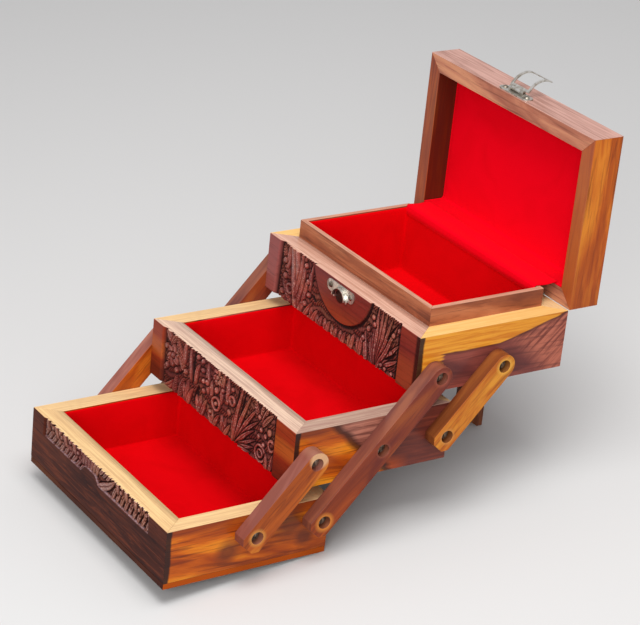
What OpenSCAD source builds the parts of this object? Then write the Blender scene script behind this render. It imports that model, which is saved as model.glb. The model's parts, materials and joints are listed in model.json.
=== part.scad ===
// Carved wooden jewelry organizer: three velvet lined trays that open like
// stairs on wooden arms, with a hinged lid on the top one and a prop leg behind.
// Each tray is drawn from its own front lower edge, with X along the front, Y to
// the back and Z up. The whole part is then tipped back onto the table, because
// in this half open pose it rests on the rear edge of the bottom tray and on the
// foot of the prop leg.

/* [Trays] */
// Width of a tray along its carved front
tray_w = 200; // [160:1:260]
// Depth of a tray from front to back
tray_d = 131.5; // [125:0.5:170]
// Height of a tray
tray_h = 45; // [42:1:60]
// Thickness of the side and back boards
side_wall = 14; // [13:0.5:18]
// Thickness of the carved front boards
front_wall = 17; // [14:0.5:22]
// Thickness of a tray's bottom board
base_t = 4.5; // [3:0.5:8]
// Thickness of the velvet lining with its card
lining_t = 1.2; // [0.8:0.1:2.5]
// How far a lining stays below the rim of its tray
lining_drop = 1; // [0.5:0.5:4]

/* [Arms] */
// Width of an arm
arm_w = 18; // [14:0.5:22]
// How far an arm reaches past its lowest pivot
arm_foot = 10.8; // [9:0.1:12]
// Length of the cut corners at the lower end of an arm
arm_cut = 4; // [2:0.5:6]
// Thickness of an arm
arm_t = 11.5; // [9:0.5:14]
// Running gap between an arm and the side of a tray
arm_gap = 0.3; // [0.2:0.1:0.8]
// Distance of the first pivot of the middle tray from its front
front_pivot = 12.5; // [11:0.5:16]
// Distance of the last pivot of the middle tray from its back
rear_pivot = 9; // [6:0.5:11]
// Distance of the last pivot of the bottom tray from its back
root_pivot = 11; // [9:0.5:14]
// Height of the pivots above the underside of the bottom tray
first_pivot_z = 32; // [29:0.5:33]
// How much lower the pivots lie on each tray than on the tray below
pivot_drop = 8; // [6:0.5:9]
// Angle of the arms above the horizontal, opened as in the picture
open_angle = 47.5; // [40:0.5:75]
// Gap between two trays when they are stacked
stack_gap = 0.4; // [0.2:0.1:1]

/* [Pivot screws] */
// Diameter of the counterbore that hides a screw head
sink_d = 9.6; // [8.5:0.1:12]
// Depth of the counterbore
sink_depth = 7; // [5:0.1:8]
// Diameter of a screw head
screw_head_d = 7.6; // [6:0.1:8.4]
// Height of a screw head
screw_head_h = 2.2; // [1.5:0.1:3]
// Diameter of a screw shank
screw_d = 4; // [3:0.1:5]
// Length of the shank inside the tray's side
screw_bite = 11; // [8:0.5:12]
// Radial clearance of a shank in its hole
pin_gap = 0.05; // [0.02:0.01:0.1]

/* [Lip around the top box] */
// Height of the lip above the rim
lip_h = 14; // [8:0.5:16]
// Thickness of the lip boards
lip_t = 4; // [3:0.5:6]

/* [Lid] */
// Thickness of the closed lid
lid_t = 26; // [24:0.5:34]
// Width of the lid's frame boards
lid_wall = 12.5; // [10:0.5:12.5]
// Thickness of the lid's panel
lid_panel_t = 6.5; // [4:0.5:7]
// Gap between the shut lid and the rim of the top box
seam_gap = 0.2; // [0.1:0.1:0.4]

/* [Lid hinges] */
// Distance of each hinge from the middle of the lid
hinge_x = 58; // [30:1:66]
// Length of a hinge along the seam
hinge_l = 24; // [16:1:34]
// Height of a hinge leaf below or above the knuckle
leaf_h = 8; // [7:0.5:12]
// Thickness of a hinge leaf
leaf_t = 0.8; // [0.5:0.1:1.2]
// Outer radius of a hinge knuckle
knuckle_r = 1.5; // [1.3:0.1:2.2]
// Radius of a hinge pin
pin_r = 0.8; // [0.6:0.05:1]
// Radial clearance of a knuckle in the boards that it is let into
knuckle_gap = 0.2; // [0.1:0.05:0.4]
// Distance of the hinge axis behind the back of the top box
axis_out = 0.3; // [0.2:0.05:0.4]
// Distance of the hinge axis below the rim
axis_drop = 0.4; // [0.35:0.05:0.6]

/* [Prop leg] */
// Width of the leg
leg_w = 30; // [18:1:50]
// Thickness of the leg
leg_t = 5; // [4:0.5:8]
// Length of the leg that lies on the back of the top box
leg_hold = 32; // [22:1:38]
// Gap between the foot and the table when the trays are stacked
leg_clear = 0.3; // [0.1:0.1:2]

/* [Catch and hasp] */
// Thickness of the catch plate and of the hasp plate
plate_t = 0.9; // [0.6:0.1:1.4]
// Distance of each plate screw from the middle
plate_screw_x = 13; // [12:0.5:18]
// Radius of the round ends of both plates
lobe_r = 4.6; // [3.8:0.1:5]
// Distance of the catch plate's middle below the rim
catch_drop = 6.2; // [5.8:0.1:8]
// Radius of the arch on the catch plate
arch_r = 8.2; // [7:0.1:8.4]
// How far the arch stands out from the front board
arch_out = 3.2; // [2:0.1:4]
// Distance of the foot of the arch below the plate's middle
arch_drop = 5.4; // [3.5:0.1:5.8]
// Height of the hasp's pin above the seam
hasp_rise = 6; // [5:0.1:7]
// Distance of the hasp's pin from the face of the lid
hasp_out = 2.7; // [2.6:0.1:3.2]
// Thickness of the hasp
hasp_t = 1; // [0.8:0.1:1.2]
// Width of each side strip of the hasp
hasp_strip = 2.4; // [1.5:0.1:3]
// Length of the hasp before its curl
hasp_straight = 6; // [4:0.5:9]
// Radius of the hasp's curl
curl_r = 14; // [12:0.5:16]
// Angle that the hasp turns in its curl
curl_turn = 80; // [76:1:88]
// Gap between the hasp and the arch that it goes over
hasp_gap = 0.6; // [0.4:0.1:1]
// Angle of the hasp above the lid's front board, swung back
hasp_angle = 50; // [30:5:80]

/* [Carving] */
// Depth of the carved ground below the face of a board
carve_depth = 2.4; // [1.5:0.1:3]
// Plain margin at the left end of a carved front
margin_left = 18; // [12:1:24]
// Plain margin at the right end of a carved front
margin_right = 24; // [16:1:30]
// Height of the carved strip on the bottom tray
strip_h = 13; // [9:1:16]
// Radius of the plain shield on the top box
shield_r = 38; // [28:1:42]
// Height of the lower tip of the shield above the bottom edge
shield_low = 14; // [10:1:20]

/* [Hidden] */

$fn = 48;
eps = 0.01;
half_w = tray_w / 2;

// The arms: stacked, each leans forward by arm_run and lifts one tray. The pivots
// that sit side by side on a tray are pivot_pitch apart
pivot_pitch = (tray_d - front_pivot - rear_pivot) / 2;
arm_run = tray_d - front_pivot - pivot_pitch - root_pivot;
arm_rise = tray_h + stack_gap - pivot_drop;
arm_l = norm([arm_run, arm_rise]);
step_y = arm_run + arm_l * cos(open_angle);
step_z = pivot_drop + arm_l * sin(open_angle);

// Pivots, as [distance from the tray's front, height above its underside]
bottom_pivots = [
  [front_pivot + arm_run, first_pivot_z],
  [front_pivot + arm_run + pivot_pitch, first_pivot_z]
];
middle_pivots = [
  for (i = [0:2]) [front_pivot + i * pivot_pitch, first_pivot_z - pivot_drop]
];
top_pivots = [
  for (i = [1:2])
    [front_pivot + i * pivot_pitch - arm_run, first_pivot_z - 2 * pivot_drop]
];

// The prop leg reaches the table when the trays are stacked, so in this pose
// its foot hangs above the plane of the bottom tray and the part tips back
leg_drop = 2 * (tray_h + stack_gap) - leg_clear;
foot_z = 2 * step_z - leg_drop;
lean = atan2(foot_z, 2 * step_y + leg_t);

// Top box and lid
top_y = 2 * step_y;
top_z = 2 * step_z;
rim_z = tray_h;
seam_z = rim_z + seam_gap;
axis_y = tray_d + axis_out;
axis_z = rim_z - axis_drop;
lid_rise = seam_z - axis_z;
lid_inner_t = lid_t - lid_panel_t;
cloth_gap = 0.3;

// The open lid's highest rear corner gives the reach to the back
lid_top = [
  top_y + axis_y + lid_rise + lid_t,
  top_z + axis_z + axis_out + tray_d
];
reach_back = (lid_top[0] - tray_d) * cos(lean) + lid_top[1] * sin(lean);
reach_front = -tray_d * cos(lean);
centre_y = (reach_back + reach_front) / 2;

// Colours
dark_wood = [0.26, 0.10, 0.07];
red_wood = [0.42, 0.15, 0.08];
orange_wood = [0.72, 0.38, 0.13];
pale_wood = [0.84, 0.66, 0.42];
velvet = [0.80, 0.01, 0.03];
nickel = [0.60, 0.58, 0.53];
steel = [0.30, 0.29, 0.27];

// Tips the part back, so that its rear lower edge and the foot of the leg
// stand on the table, and centres it
module on_table() {
  translate([0, -centre_y, 0]) rotate([-lean, 0, 0]) translate([0, -tray_d, 0])
    children();
}

module at_middle() on_table() translate([0, step_y, step_z]) children();
module at_top() on_table() translate([0, top_y, top_z]) children();

// Carries the closed lid, drawn on the top box, back to its open place
module lid_open() {
  at_top() translate([0, axis_y, axis_z]) rotate([-90, 0, 0])
    translate([0, -axis_y, -axis_z]) children();
}

// A cylinder along X that starts at the given point
module rod_x(r, l) rotate([0, 90, 0]) cylinder(r = r, h = l);

// A cylinder along Y that starts at the given point and goes to the back
module rod_y(r, l) rotate([-90, 0, 0]) cylinder(r = r, h = l);

// Copies its child onto both sides of the middle plane
module both_sides() {
  children();
  mirror([1, 0, 0]) children();
}

// Mitred frame boards, seen from above, for a frame of depth d
module front_plan(wall_s, wall_f) {
  polygon([
    [-half_w, 0], [half_w, 0], [half_w - wall_s, wall_f], [-half_w + wall_s, wall_f]
  ]);
}

module back_plan(wall) {
  polygon([
    [-half_w, tray_d], [half_w, tray_d],
    [half_w - wall, tray_d - wall], [-half_w + wall, tray_d - wall]
  ]);
}

module right_plan(wall_s, wall_f) {
  polygon([
    [half_w, 0], [half_w, tray_d],
    [half_w - wall_s, tray_d - wall_s], [half_w - wall_s, wall_f]
  ]);
}

// Holes for the pivot screws on the right. Those near a corner run through the
// mitre, so the front and back boards get them too
module pivot_holes(pivots) {
  for (p = pivots)
    translate([half_w - screw_bite, p[0], p[1]])
      rod_x(screw_d / 2 + pin_gap, screw_bite + 1);
}

module side_board(z0, pivots) {
  difference() {
    translate([0, 0, z0]) linear_extrude(tray_h - z0) right_plan(side_wall, front_wall);
    pivot_holes(pivots);
  }
}

// The place of the three knuckles of each hinge, cut out of the boards behind
module knuckle_seat() {
  at_hinges() translate([-hinge_l / 2 - knuckle_gap, 0, 0])
    rod_x(knuckle_r + knuckle_gap, hinge_l + 2 * knuckle_gap);
}

module back_board(z0, pivots) {
  difference() {
    translate([0, 0, z0]) linear_extrude(tray_h - z0) back_plan(side_wall);
    both_sides() pivot_holes(pivots);
  }
}

// Carving

// A pointed leaf that stands on the origin
module leaf(l, w) {
  r = (l * l + w * w) / (4 * w);
  translate([0, l / 2]) intersection() {
    translate([r - w / 2, 0]) circle(r);
    translate([w / 2 - r, 0]) circle(r);
  }
}

// A fan of leaves from one foot: count, length and the angles of its ends
module leaf_fan(n, l, w, from, to) {
  for (i = [0:n - 1])
    rotate(from + (to - from) * i / (n - 1)) translate([0, 1]) leaf(l, w);
}

// Single leaves, each given by its foot, its turn, its length and its width
module leaves(list) {
  for (v = list) translate([v[0], v[1]]) rotate(v[2]) leaf(v[3], v[4]);
}

// Round berries, each given by its middle and its radius
module berries(list) {
  for (b = list) translate([b[0], b[1]]) circle(b[2]);
}

// A curl, seen as a raised ring
module curl(x, z, r) {
  translate([x, z]) difference() {
    circle(r);
    circle(r / 2);
  }
}

// Stands a flat pattern up as relief on the carved ground of a front board
module relief(h) {
  translate([0, carve_depth, 0]) rotate([90, 0, 0]) linear_extrude(h) children();
}

// The outline of the carved ground between the plain margins
module ground_plan(z0, z1) {
  translate([-half_w + margin_left, z0])
    square([tray_w - margin_left - margin_right, z1 - z0]);
}

// A front board with its carved ground cut away and its relief put back
module carved_board(z0, ground_z0) {
  difference() {
    translate([0, 0, z0]) linear_extrude(tray_h - z0)
      front_plan(side_wall, front_wall);
    translate([0, carve_depth, 0]) rotate([90, 0, 0])
      linear_extrude(carve_depth + 1) ground_plan(ground_z0, tray_h + 1);
  }
  relief(carve_depth) intersection() {
    children();
    ground_plan(ground_z0, tray_h);
  }
}

// Scalloped edge along the foot of the carved strip
strip_z = tray_h - strip_h;
strip_foot = 1.5;
scallop_count = 8;
scallop_bend = 0.62;
scallop_foot = 1;
scallop_top = 2.5;

module scallops() {
  w = (tray_w - margin_left - margin_right) / scallop_count;
  r = scallop_bend * w;
  translate([-half_w + margin_left, strip_z]) for (i = [0:scallop_count - 1])
    translate([(i + 0.5) * w, 0]) difference() {
      translate([-w / 2 - eps, -scallop_foot])
        square([w + 2 * eps, scallop_foot + scallop_top]);
      translate([0, r]) circle(r);
    }
}

module bottom_pattern() {
  scallops();
  for (x = [-68, -50, -32, 22, 40, 58])
    translate([x, strip_z + 1]) leaf_fan(5, strip_h - 3, 3.4, 56, -56);
  translate([-4, strip_z - 1]) leaf_fan(9, strip_h, 3, 72, -72);
}

module middle_pattern() {
  translate([-70, 28]) leaf_fan(6, 9, 4.4, 0, 300);
  leaves([
    [-71, 36, 50, 13, 5], [-80, 1, -50, 16, 6], [-66, 0, 12, 16, 5],
    [-50, 20, 34, 29, 8], [-50, 1, 24, 17, 5], [18.5, 2, 0, 18, 4],
    [72, 2, 5, 13, 4], [48, 34, -30, 12, 4]
  ]);
  translate([-38, 0]) leaf_fan(4, tray_h + 2, 4.4, 12, -16);
  translate([-6, 0]) leaf_fan(5, 14, 4, 50, -50);
  translate([-6, 37]) leaf_fan(6, 6, 3.4, 0, 300);
  translate([22, 0]) leaf_fan(5, tray_h + 2, 5, -12, -66);
  translate([62, 33]) leaf_fan(4, 12, 4.4, 50, -50);
  curl(-6, 19, 5);
  curl(59, 8, 6);
  berries([
    [-80, 30, 2.6], [-78, 18, 2.6], [-64, 18.5, 2.4], [-52, 24, 2.4], [-19, 29, 2.6],
    [-18, 19, 2.4], [6, 29, 2.6], [-16, 8, 2.4], [11, 19, 2.6], [14, 31, 3],
    [67, 27, 2.8], [61, 24, 2.4], [70, 18, 2.4]
  ]);
}

// The plain shield in the middle of the top box and the groove round it
shield_groove = 2.4;

module shield(r) {
  translate([0, shield_low + shield_r]) circle(r);
}

module top_pattern() {
  shield(shield_r);
  difference() {
    union() {
      leaves([
        [-56, 0, 12, tray_h + 2, 9], [-72, 24, 20, 20, 7], [-74, 1, -20, 16, 6],
        [-66, 2, 2, 20, 5]
      ]);
      translate([-51, 0]) leaf_fan(3, tray_h + 2, 4.4, 2, -11);
      translate([49, 0]) leaf_fan(8, tray_h, 4.8, 22, -58);
      for (x = [-28, -14, 0, 14, 28])
        translate([x, 1]) leaf_fan(5, 12, 3.4, 60, -60);
      berries([
        [-77, 33, 2.6], [-76, 21, 2.6], [-79, 10, 2.4], [-37, 31, 2.4], [-34, 18, 2.4],
        [41, 36, 2.4], [37, 25, 2.4], [33, 15.5, 2.4], [68, 4, 2.4]
      ]);
    }
    shield(shield_r + shield_groove);
  }
}

// Bottom tray

module bottom_front() color(dark_wood) on_table()
  carved_board(base_t, strip_z - strip_foot) bottom_pattern();

module bottom_back() color(orange_wood) on_table()
  back_board(base_t, bottom_pivots);

module bottom_right() color(orange_wood) on_table()
  side_board(base_t, bottom_pivots);

module bottom_left() color(orange_wood) on_table() mirror([1, 0, 0])
  side_board(base_t, bottom_pivots);

// The bottom board of the lowest tray covers the whole frame from below
module bottom_base() color(orange_wood) on_table()
  translate([-half_w, 0, 0]) cube([tray_w, tray_d, base_t]);

// The bottom boards of the other trays sit between their walls
module inset_base(inset) {
  translate([-half_w + side_wall + inset, front_wall + inset, 0])
    cube([
      tray_w - 2 * (side_wall + inset),
      tray_d - front_wall - side_wall - 2 * inset,
      base_t
    ]);
}

// A lining of card and velvet on the floor and the walls, open at the top
module lining(inset, top) {
  difference() {
    translate([-half_w + side_wall + inset, front_wall + inset, base_t])
      cube([
        tray_w - 2 * (side_wall + inset),
        tray_d - front_wall - side_wall - 2 * inset,
        top - base_t
      ]);
    translate([
      -half_w + side_wall + inset + lining_t, front_wall + inset + lining_t,
      base_t + lining_t
    ])
      cube([
        tray_w - 2 * (side_wall + inset + lining_t),
        tray_d - front_wall - side_wall - 2 * (inset + lining_t),
        top
      ]);
  }
}

module bottom_lining() color(velvet) on_table() lining(0, tray_h - lining_drop);

// A pivot screw along X, its head in the counterbore of the arm on the right
head_play = 0.1;
screw_slot_w = 1;
screw_slot_d = 0.8;

module pivot_screw() {
  head_x = half_w + arm_gap + arm_t - sink_depth + head_play;
  difference() {
    union() {
      translate([half_w - screw_bite, 0, 0])
        rod_x(screw_d / 2, head_x - half_w + screw_bite + eps);
      translate([head_x, 0, 0]) rod_x(screw_head_d / 2, screw_head_h);
    }
    translate([head_x + screw_head_h - screw_slot_d, -screw_slot_w / 2, -screw_head_d / 2])
      cube([screw_slot_d + 1, screw_slot_w, screw_head_d]);
  }
}

module pivot_screws(pivots) {
  for (p = pivots) both_sides() translate([0, p[0], p[1]]) pivot_screw();
}

module bottom_pivot_screws() color(steel) on_table() pivot_screws(bottom_pivots);

// Middle tray

module middle_front() color(dark_wood) at_middle() difference() {
  carved_board(0, -1) middle_pattern();
  both_sides() pivot_holes(middle_pivots);
}

module middle_back() color(orange_wood) at_middle() back_board(0, middle_pivots);

module middle_right() color(orange_wood) at_middle() side_board(0, middle_pivots);

module middle_left() color(orange_wood) at_middle() mirror([1, 0, 0])
  side_board(0, middle_pivots);

module middle_base() color(orange_wood) at_middle() inset_base(0);

module middle_lining() color(velvet) at_middle() lining(0, tray_h - lining_drop);

module middle_pivot_screws() color(steel) at_middle() pivot_screws(middle_pivots);

// Top box

catch_z = rim_z - catch_drop;
plate_screw_r = 1.1;
plate_screw_l = 7;
leg_screw_z = [leg_hold * 0.3, leg_hold * 0.75];
leg_screw_r = 1.6;
leg_screw_l = 9;
leaf_screw_r = 0.9;
leaf_screw_l = 5;
leaf_clear = 0.4;
leaf_start = knuckle_r + leaf_clear;
leaf_screw_z = axis_z - leaf_start - leaf_h / 2;
leaf_screw_x = [-0.3 * hinge_l, 0.3 * hinge_l];

module top_front() color(dark_wood) at_top() difference() {
  carved_board(0, -1) top_pattern();
  both_sides() pivot_holes(top_pivots);
  both_sides() translate([plate_screw_x, -eps, catch_z])
    rod_y(plate_screw_r + pin_gap, plate_screw_l + 0.5);
}

module top_back() color(orange_wood) at_top() difference() {
  back_board(0, top_pivots);
  knuckle_seat();
  for (z = leg_screw_z)
    translate([0, tray_d - leg_screw_l, z]) rod_y(leg_screw_r + pin_gap, leg_screw_l + 1);
  both_sides() for (x = leaf_screw_x)
    translate([hinge_x + x, tray_d - leaf_screw_l, leaf_screw_z])
      rod_y(leaf_screw_r + pin_gap, leaf_screw_l + 1);
}

module top_right() color(orange_wood) at_top() side_board(0, top_pivots);

module top_left() color(orange_wood) at_top() mirror([1, 0, 0])
  side_board(0, top_pivots);

module top_base() color(orange_wood) at_top() inset_base(0);

// The lip boards line the walls and stand up above the rim
lip_top = tray_h + lip_h;

module lip_shape(plan) {
  translate([0, 0, base_t]) linear_extrude(lip_top - base_t) polygon(plan);
}

lip_x = half_w - side_wall;
lip_front_y = front_wall;
lip_back_y = tray_d - side_wall;

module lip_front() color(pale_wood) at_top() lip_shape([
  [-lip_x, lip_front_y], [lip_x, lip_front_y],
  [lip_x - lip_t, lip_front_y + lip_t], [-lip_x + lip_t, lip_front_y + lip_t]
]);

module lip_back() color(pale_wood) at_top() lip_shape([
  [-lip_x, lip_back_y], [lip_x, lip_back_y],
  [lip_x - lip_t, lip_back_y - lip_t], [-lip_x + lip_t, lip_back_y - lip_t]
]);

module lip_side() {
  lip_shape([
    [lip_x, lip_front_y], [lip_x, lip_back_y],
    [lip_x - lip_t, lip_back_y - lip_t], [lip_x - lip_t, lip_front_y + lip_t]
  ]);
}

module lip_right() color(pale_wood) at_top() lip_side();

module lip_left() color(pale_wood) at_top() mirror([1, 0, 0]) lip_side();

module top_lining() color(velvet) at_top() lining(lip_t, lip_top - lining_drop);

module top_pivot_screws() color(steel) at_top() pivot_screws(top_pivots);

// The leg is a flat strip, screwed to the back of the top box
module prop_leg() color(red_wood) at_top() difference() {
  translate([-leg_w / 2, tray_d, -leg_drop]) cube([leg_w, leg_t, leg_drop + leg_hold]);
  for (z = leg_screw_z)
    translate([0, tray_d - 1, z]) rod_y(leg_screw_r + pin_gap, leg_t + 2);
}

// A round headed wood screw along Y: the head's flat underside lies at the origin
// and the shank goes to the front
module round_screw(r, l) {
  difference() {
    union() {
      translate([0, -l, 0]) rod_y(r, l + eps);
      intersection() {
        translate([0, -1.2 * r, 0]) sphere(r * 2.4);
        translate([-3 * r, 0, -3 * r]) cube(6 * r);
      }
    }
    translate([-0.2 * r, 0.8 * r, -3 * r]) cube([0.4 * r, 3 * r, 6 * r]);
  }
}

module prop_leg_screws() color(steel) at_top() for (z = leg_screw_z)
  translate([0, tray_d + leg_t, z]) round_screw(leg_screw_r, leg_t + leg_screw_l - 0.5);

// The catch: a plate with round ends for its screws and a raised arch
module plate_outline() {
  both_sides() translate([plate_screw_x, 0]) circle(lobe_r);
  square([2 * plate_screw_x, 2 * lobe_r], center = true);
}

arch_z = catch_z - arch_drop;
arch_foot_r = 1.7;

module catch_plate() color(nickel) at_top() difference() {
  union() {
    translate([0, 0, catch_z]) rotate([90, 0, 0]) linear_extrude(plate_t)
      plate_outline();
    intersection() {
      translate([0, -arch_out, arch_z]) rod_y(arch_r, arch_out);
      translate([-arch_r, -arch_out, arch_z]) cube([2 * arch_r, arch_out, arch_r]);
    }
    both_sides() translate([arch_r - plate_t / 2, -plate_t, arch_z])
      rod_y(arch_foot_r, plate_t);
  }
  translate([0, -arch_out - 1, arch_z]) rod_y(arch_r - plate_t, arch_out + 2);
  both_sides() translate([plate_screw_x, -2 * plate_t, catch_z])
    rod_y(plate_screw_r + pin_gap, 3 * plate_t);
}

module catch_screws() color(steel) at_top() both_sides()
  translate([plate_screw_x, -plate_t, catch_z]) rotate([0, 0, 180])
    round_screw(plate_screw_r, plate_screw_l + plate_t);

// Lid hinges

// Positions of the three knuckles along a hinge, from its left end
knuckle_l = hinge_l / 3;
knuckle_play = 0.1;

// One knuckle with the plate that joins it to its leaf, which hangs below
module knuckle(i) {
  x0 = -hinge_l / 2 + i * knuckle_l + knuckle_play;
  l = knuckle_l - 2 * knuckle_play;
  translate([x0, 0, 0]) rod_x(knuckle_r, l);
  translate([x0, -axis_out, -leaf_start - eps]) cube([l, leaf_t, leaf_start]);
}

// A leaf that hangs below the hinge axis, against the back of the board
module leaf_below(knuckles) {
  difference() {
    union() {
      translate([-hinge_l / 2, -axis_out, -leaf_start - leaf_h])
        cube([hinge_l, leaf_t, leaf_h]);
      for (i = knuckles) knuckle(i);
    }
    translate([-hinge_l, 0, 0]) rod_x(pin_r + pin_gap, 2 * hinge_l);
    for (x = leaf_screw_x)
      translate([x, -axis_out - 1, leaf_screw_z - axis_z])
        rod_y(leaf_screw_r + pin_gap, leaf_t + 2);
  }
}

module at_hinges() {
  both_sides() translate([hinge_x, axis_y, axis_z]) children();
}

module box_hinge_leaves() color(nickel) at_top() at_hinges() leaf_below([0, 2]);

module box_hinge_screws() color(steel) at_top() at_hinges()
  for (x = leaf_screw_x) translate([x, leaf_t - axis_out, leaf_screw_z - axis_z])
    round_screw(leaf_screw_r, leaf_t + leaf_screw_l - 0.5);

module hinge_pins() color(steel) at_top() at_hinges()
  translate([-hinge_l / 2, 0, 0]) rod_x(pin_r, hinge_l);

// The cloth that bridges the seam, from the back lip to the open lid
module hinge_cloth() color(velvet) at_top()
  translate([-lip_x + 1, lip_back_y - lip_t - lining_t, lip_top])
    cube([
      2 * lip_x - 2,
      axis_y + lid_rise - cloth_gap - lip_back_y + lip_t + lining_t,
      lining_t
    ]);

// Lid, drawn closed on the top box

module lid_extrude(z0) {
  translate([0, 0, seam_z + z0]) linear_extrude(lid_t - z0) children();
}

module lid_back() color(orange_wood) lid_open() difference() {
  lid_extrude(0) back_plan(lid_wall);
  knuckle_seat();
  both_sides() for (x = leaf_screw_x)
    translate([hinge_x + x, tray_d - leaf_screw_l, 2 * axis_z - leaf_screw_z])
      rod_y(leaf_screw_r + pin_gap, leaf_screw_l + 1);
}

module lid_front() color(red_wood) lid_open() difference() {
  lid_extrude(0) front_plan(lid_wall, lid_wall);
  both_sides() translate([plate_screw_x, -eps, hasp_plate_z])
    rod_y(plate_screw_r + pin_gap, plate_screw_l + 0.5);
}

module lid_right() color(orange_wood) lid_open()
  lid_extrude(0) right_plan(lid_wall, lid_wall);

module lid_left() color(orange_wood) lid_open() mirror([1, 0, 0])
  lid_extrude(0) right_plan(lid_wall, lid_wall);

module lid_panel() color(red_wood) lid_open()
  translate([-half_w + lid_wall, lid_wall, seam_z + lid_inner_t])
    cube([tray_w - 2 * lid_wall, tray_d - 2 * lid_wall, lid_panel_t]);

// The lid's lining covers the panel and turns down over the back board
module lid_lining() color(velvet) lid_open() {
  w = tray_w - 2 * lid_wall;
  translate([-w / 2, lid_wall, seam_z + lid_inner_t - lining_t])
    cube([w, tray_d - 2 * lid_wall, lining_t]);
  translate([-w / 2, tray_d - lid_wall - lining_t, seam_z])
    cube([w, lining_t, lid_inner_t - lining_t + eps]);
}

module lid_hinge_leaves() color(nickel) lid_open() at_hinges()
  mirror([0, 0, 1]) leaf_below([1]);

module lid_hinge_screws() color(steel) lid_open() at_hinges()
  for (x = leaf_screw_x) translate([x, leaf_t - axis_out, axis_z - leaf_screw_z])
    round_screw(leaf_screw_r, leaf_t + leaf_screw_l - 0.5);

// Hasp, on the front board of the lid

plate_edge = 0.8;
hasp_plate_z = seam_z + lobe_r + plate_edge;
hasp_axis_z = seam_z + hasp_rise;
hasp_knuckle_r = 1.6;
hasp_pin_r = 0.8;
ear_l = 2.4;
ear_play = 0.2;
ear_clear = 0.3;
slot_start = 4;
arch_reach = hasp_axis_z - arch_z + arch_foot_r;
slot_w = 2 * (arch_r + hasp_gap);
hasp_w = slot_w + 2 * hasp_strip;
neck_w = 2 * (plate_screw_x - lobe_r - ear_l - ear_play);

module hasp_plate() color(nickel) lid_open() difference() {
  union() {
    translate([0, 0, hasp_plate_z]) rotate([90, 0, 0]) linear_extrude(plate_t)
      plate_outline();
    both_sides() translate([neck_w / 2 + ear_play, 0, 0]) {
      translate([0, -hasp_out, hasp_axis_z]) rod_x(hasp_knuckle_r, ear_l);
      translate([0, -hasp_out, hasp_axis_z - hasp_knuckle_r])
        cube([ear_l, hasp_out, 2 * hasp_knuckle_r]);
    }
  }
  translate([-half_w, -hasp_out, hasp_axis_z]) rod_x(hasp_pin_r + pin_gap, tray_w);
  both_sides() translate([plate_screw_x, -2 * plate_t, hasp_plate_z])
    rod_y(plate_screw_r + pin_gap, 3 * plate_t);
}

module hasp_screws() color(steel) lid_open() both_sides()
  translate([plate_screw_x, -plate_t, hasp_plate_z]) rotate([0, 0, 180])
    round_screw(plate_screw_r, plate_screw_l + plate_t);

module hasp_pin() color(steel) lid_open()
  translate([-neck_w / 2 - ear_play - ear_l, -hasp_out, hasp_axis_z])
    rod_x(hasp_pin_r, neck_w + 2 * (ear_play + ear_l));

// Side view of the hasp hanging down: straight, then curling away from the box.
// The first axis points away from the box and the second one down the hasp
module hasp_profile() {
  translate([hasp_knuckle_r - hasp_t, 0]) square([hasp_t, hasp_straight]);
  translate([hasp_knuckle_r + curl_r, hasp_straight]) intersection() {
    difference() {
      circle(curl_r + hasp_t);
      circle(curl_r);
    }
    polygon([
      [0, 0], [-3 * curl_r, 0], [-3 * curl_r, 3 * curl_r],
      3 * curl_r * [-cos(curl_turn), sin(curl_turn)]
    ]);
  }
}

// The hasp hanging down from its pin at the origin
module hasp_hanging() {
  difference() {
    union() {
      translate([-neck_w / 2, 0, 0]) rod_x(hasp_knuckle_r, neck_w);
      translate([-hasp_w / 2, 0, 0]) rotate([0, 90, 0]) rotate(-90)
        linear_extrude(hasp_w) hasp_profile();
    }
    translate([-half_w, 0, 0]) rod_x(hasp_pin_r + pin_gap, tray_w);
    translate([-slot_w / 2, -curl_r, -arch_reach])
      cube([slot_w, 2 * curl_r, arch_reach - slot_start]);
    both_sides() translate([neck_w / 2, -curl_r, -hasp_knuckle_r - ear_clear])
      cube([hasp_w, 2 * curl_r, 3 * hasp_knuckle_r]);
  }
}

module hasp() color(nickel) lid_open()
  translate([0, -hasp_out, hasp_axis_z]) rotate([-180 + hasp_angle, 0, 0])
    hasp_hanging();

// Arms

// An arm on the right, from its first pivot at the origin along +Y
module arm(pivots) {
  l = (pivots - 1) * arm_l;
  difference() {
    rotate([90, 0, 90]) linear_extrude(arm_t) union() {
      polygon([
        [l, -arm_w / 2], [l, arm_w / 2], [arm_cut - arm_foot, arm_w / 2],
        [-arm_foot, arm_w / 2 - arm_cut], [-arm_foot, arm_cut - arm_w / 2],
        [arm_cut - arm_foot, -arm_w / 2]
      ]);
      translate([l, 0]) circle(arm_w / 2);
    }
    for (i = [0:pivots - 1]) translate([0, i * arm_l, 0]) {
      translate([-1, 0, 0]) rod_x(screw_d / 2 + pin_gap, arm_t + 2);
      translate([arm_t - sink_depth, 0, 0]) rod_x(sink_d / 2, sink_depth + 1);
    }
  }
}

// Swings an arm up from its pivot on a tray
module arm_at(pivot, pivots) {
  translate([half_w + arm_gap, pivot[0], pivot[1]]) rotate([open_angle, 0, 0])
    arm(pivots);
}

module front_arm_right() color(orange_wood) on_table() arm_at(bottom_pivots[0], 2);

module front_arm_left() color(orange_wood) on_table() mirror([1, 0, 0])
  arm_at(bottom_pivots[0], 2);

module long_arm_right() color(red_wood) on_table() arm_at(bottom_pivots[1], 3);

module long_arm_left() color(red_wood) on_table() mirror([1, 0, 0])
  arm_at(bottom_pivots[1], 3);

module rear_arm_right() color(orange_wood) at_middle() arm_at(middle_pivots[2], 2);

module rear_arm_left() color(orange_wood) at_middle() mirror([1, 0, 0])
  arm_at(middle_pivots[2], 2);

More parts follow.
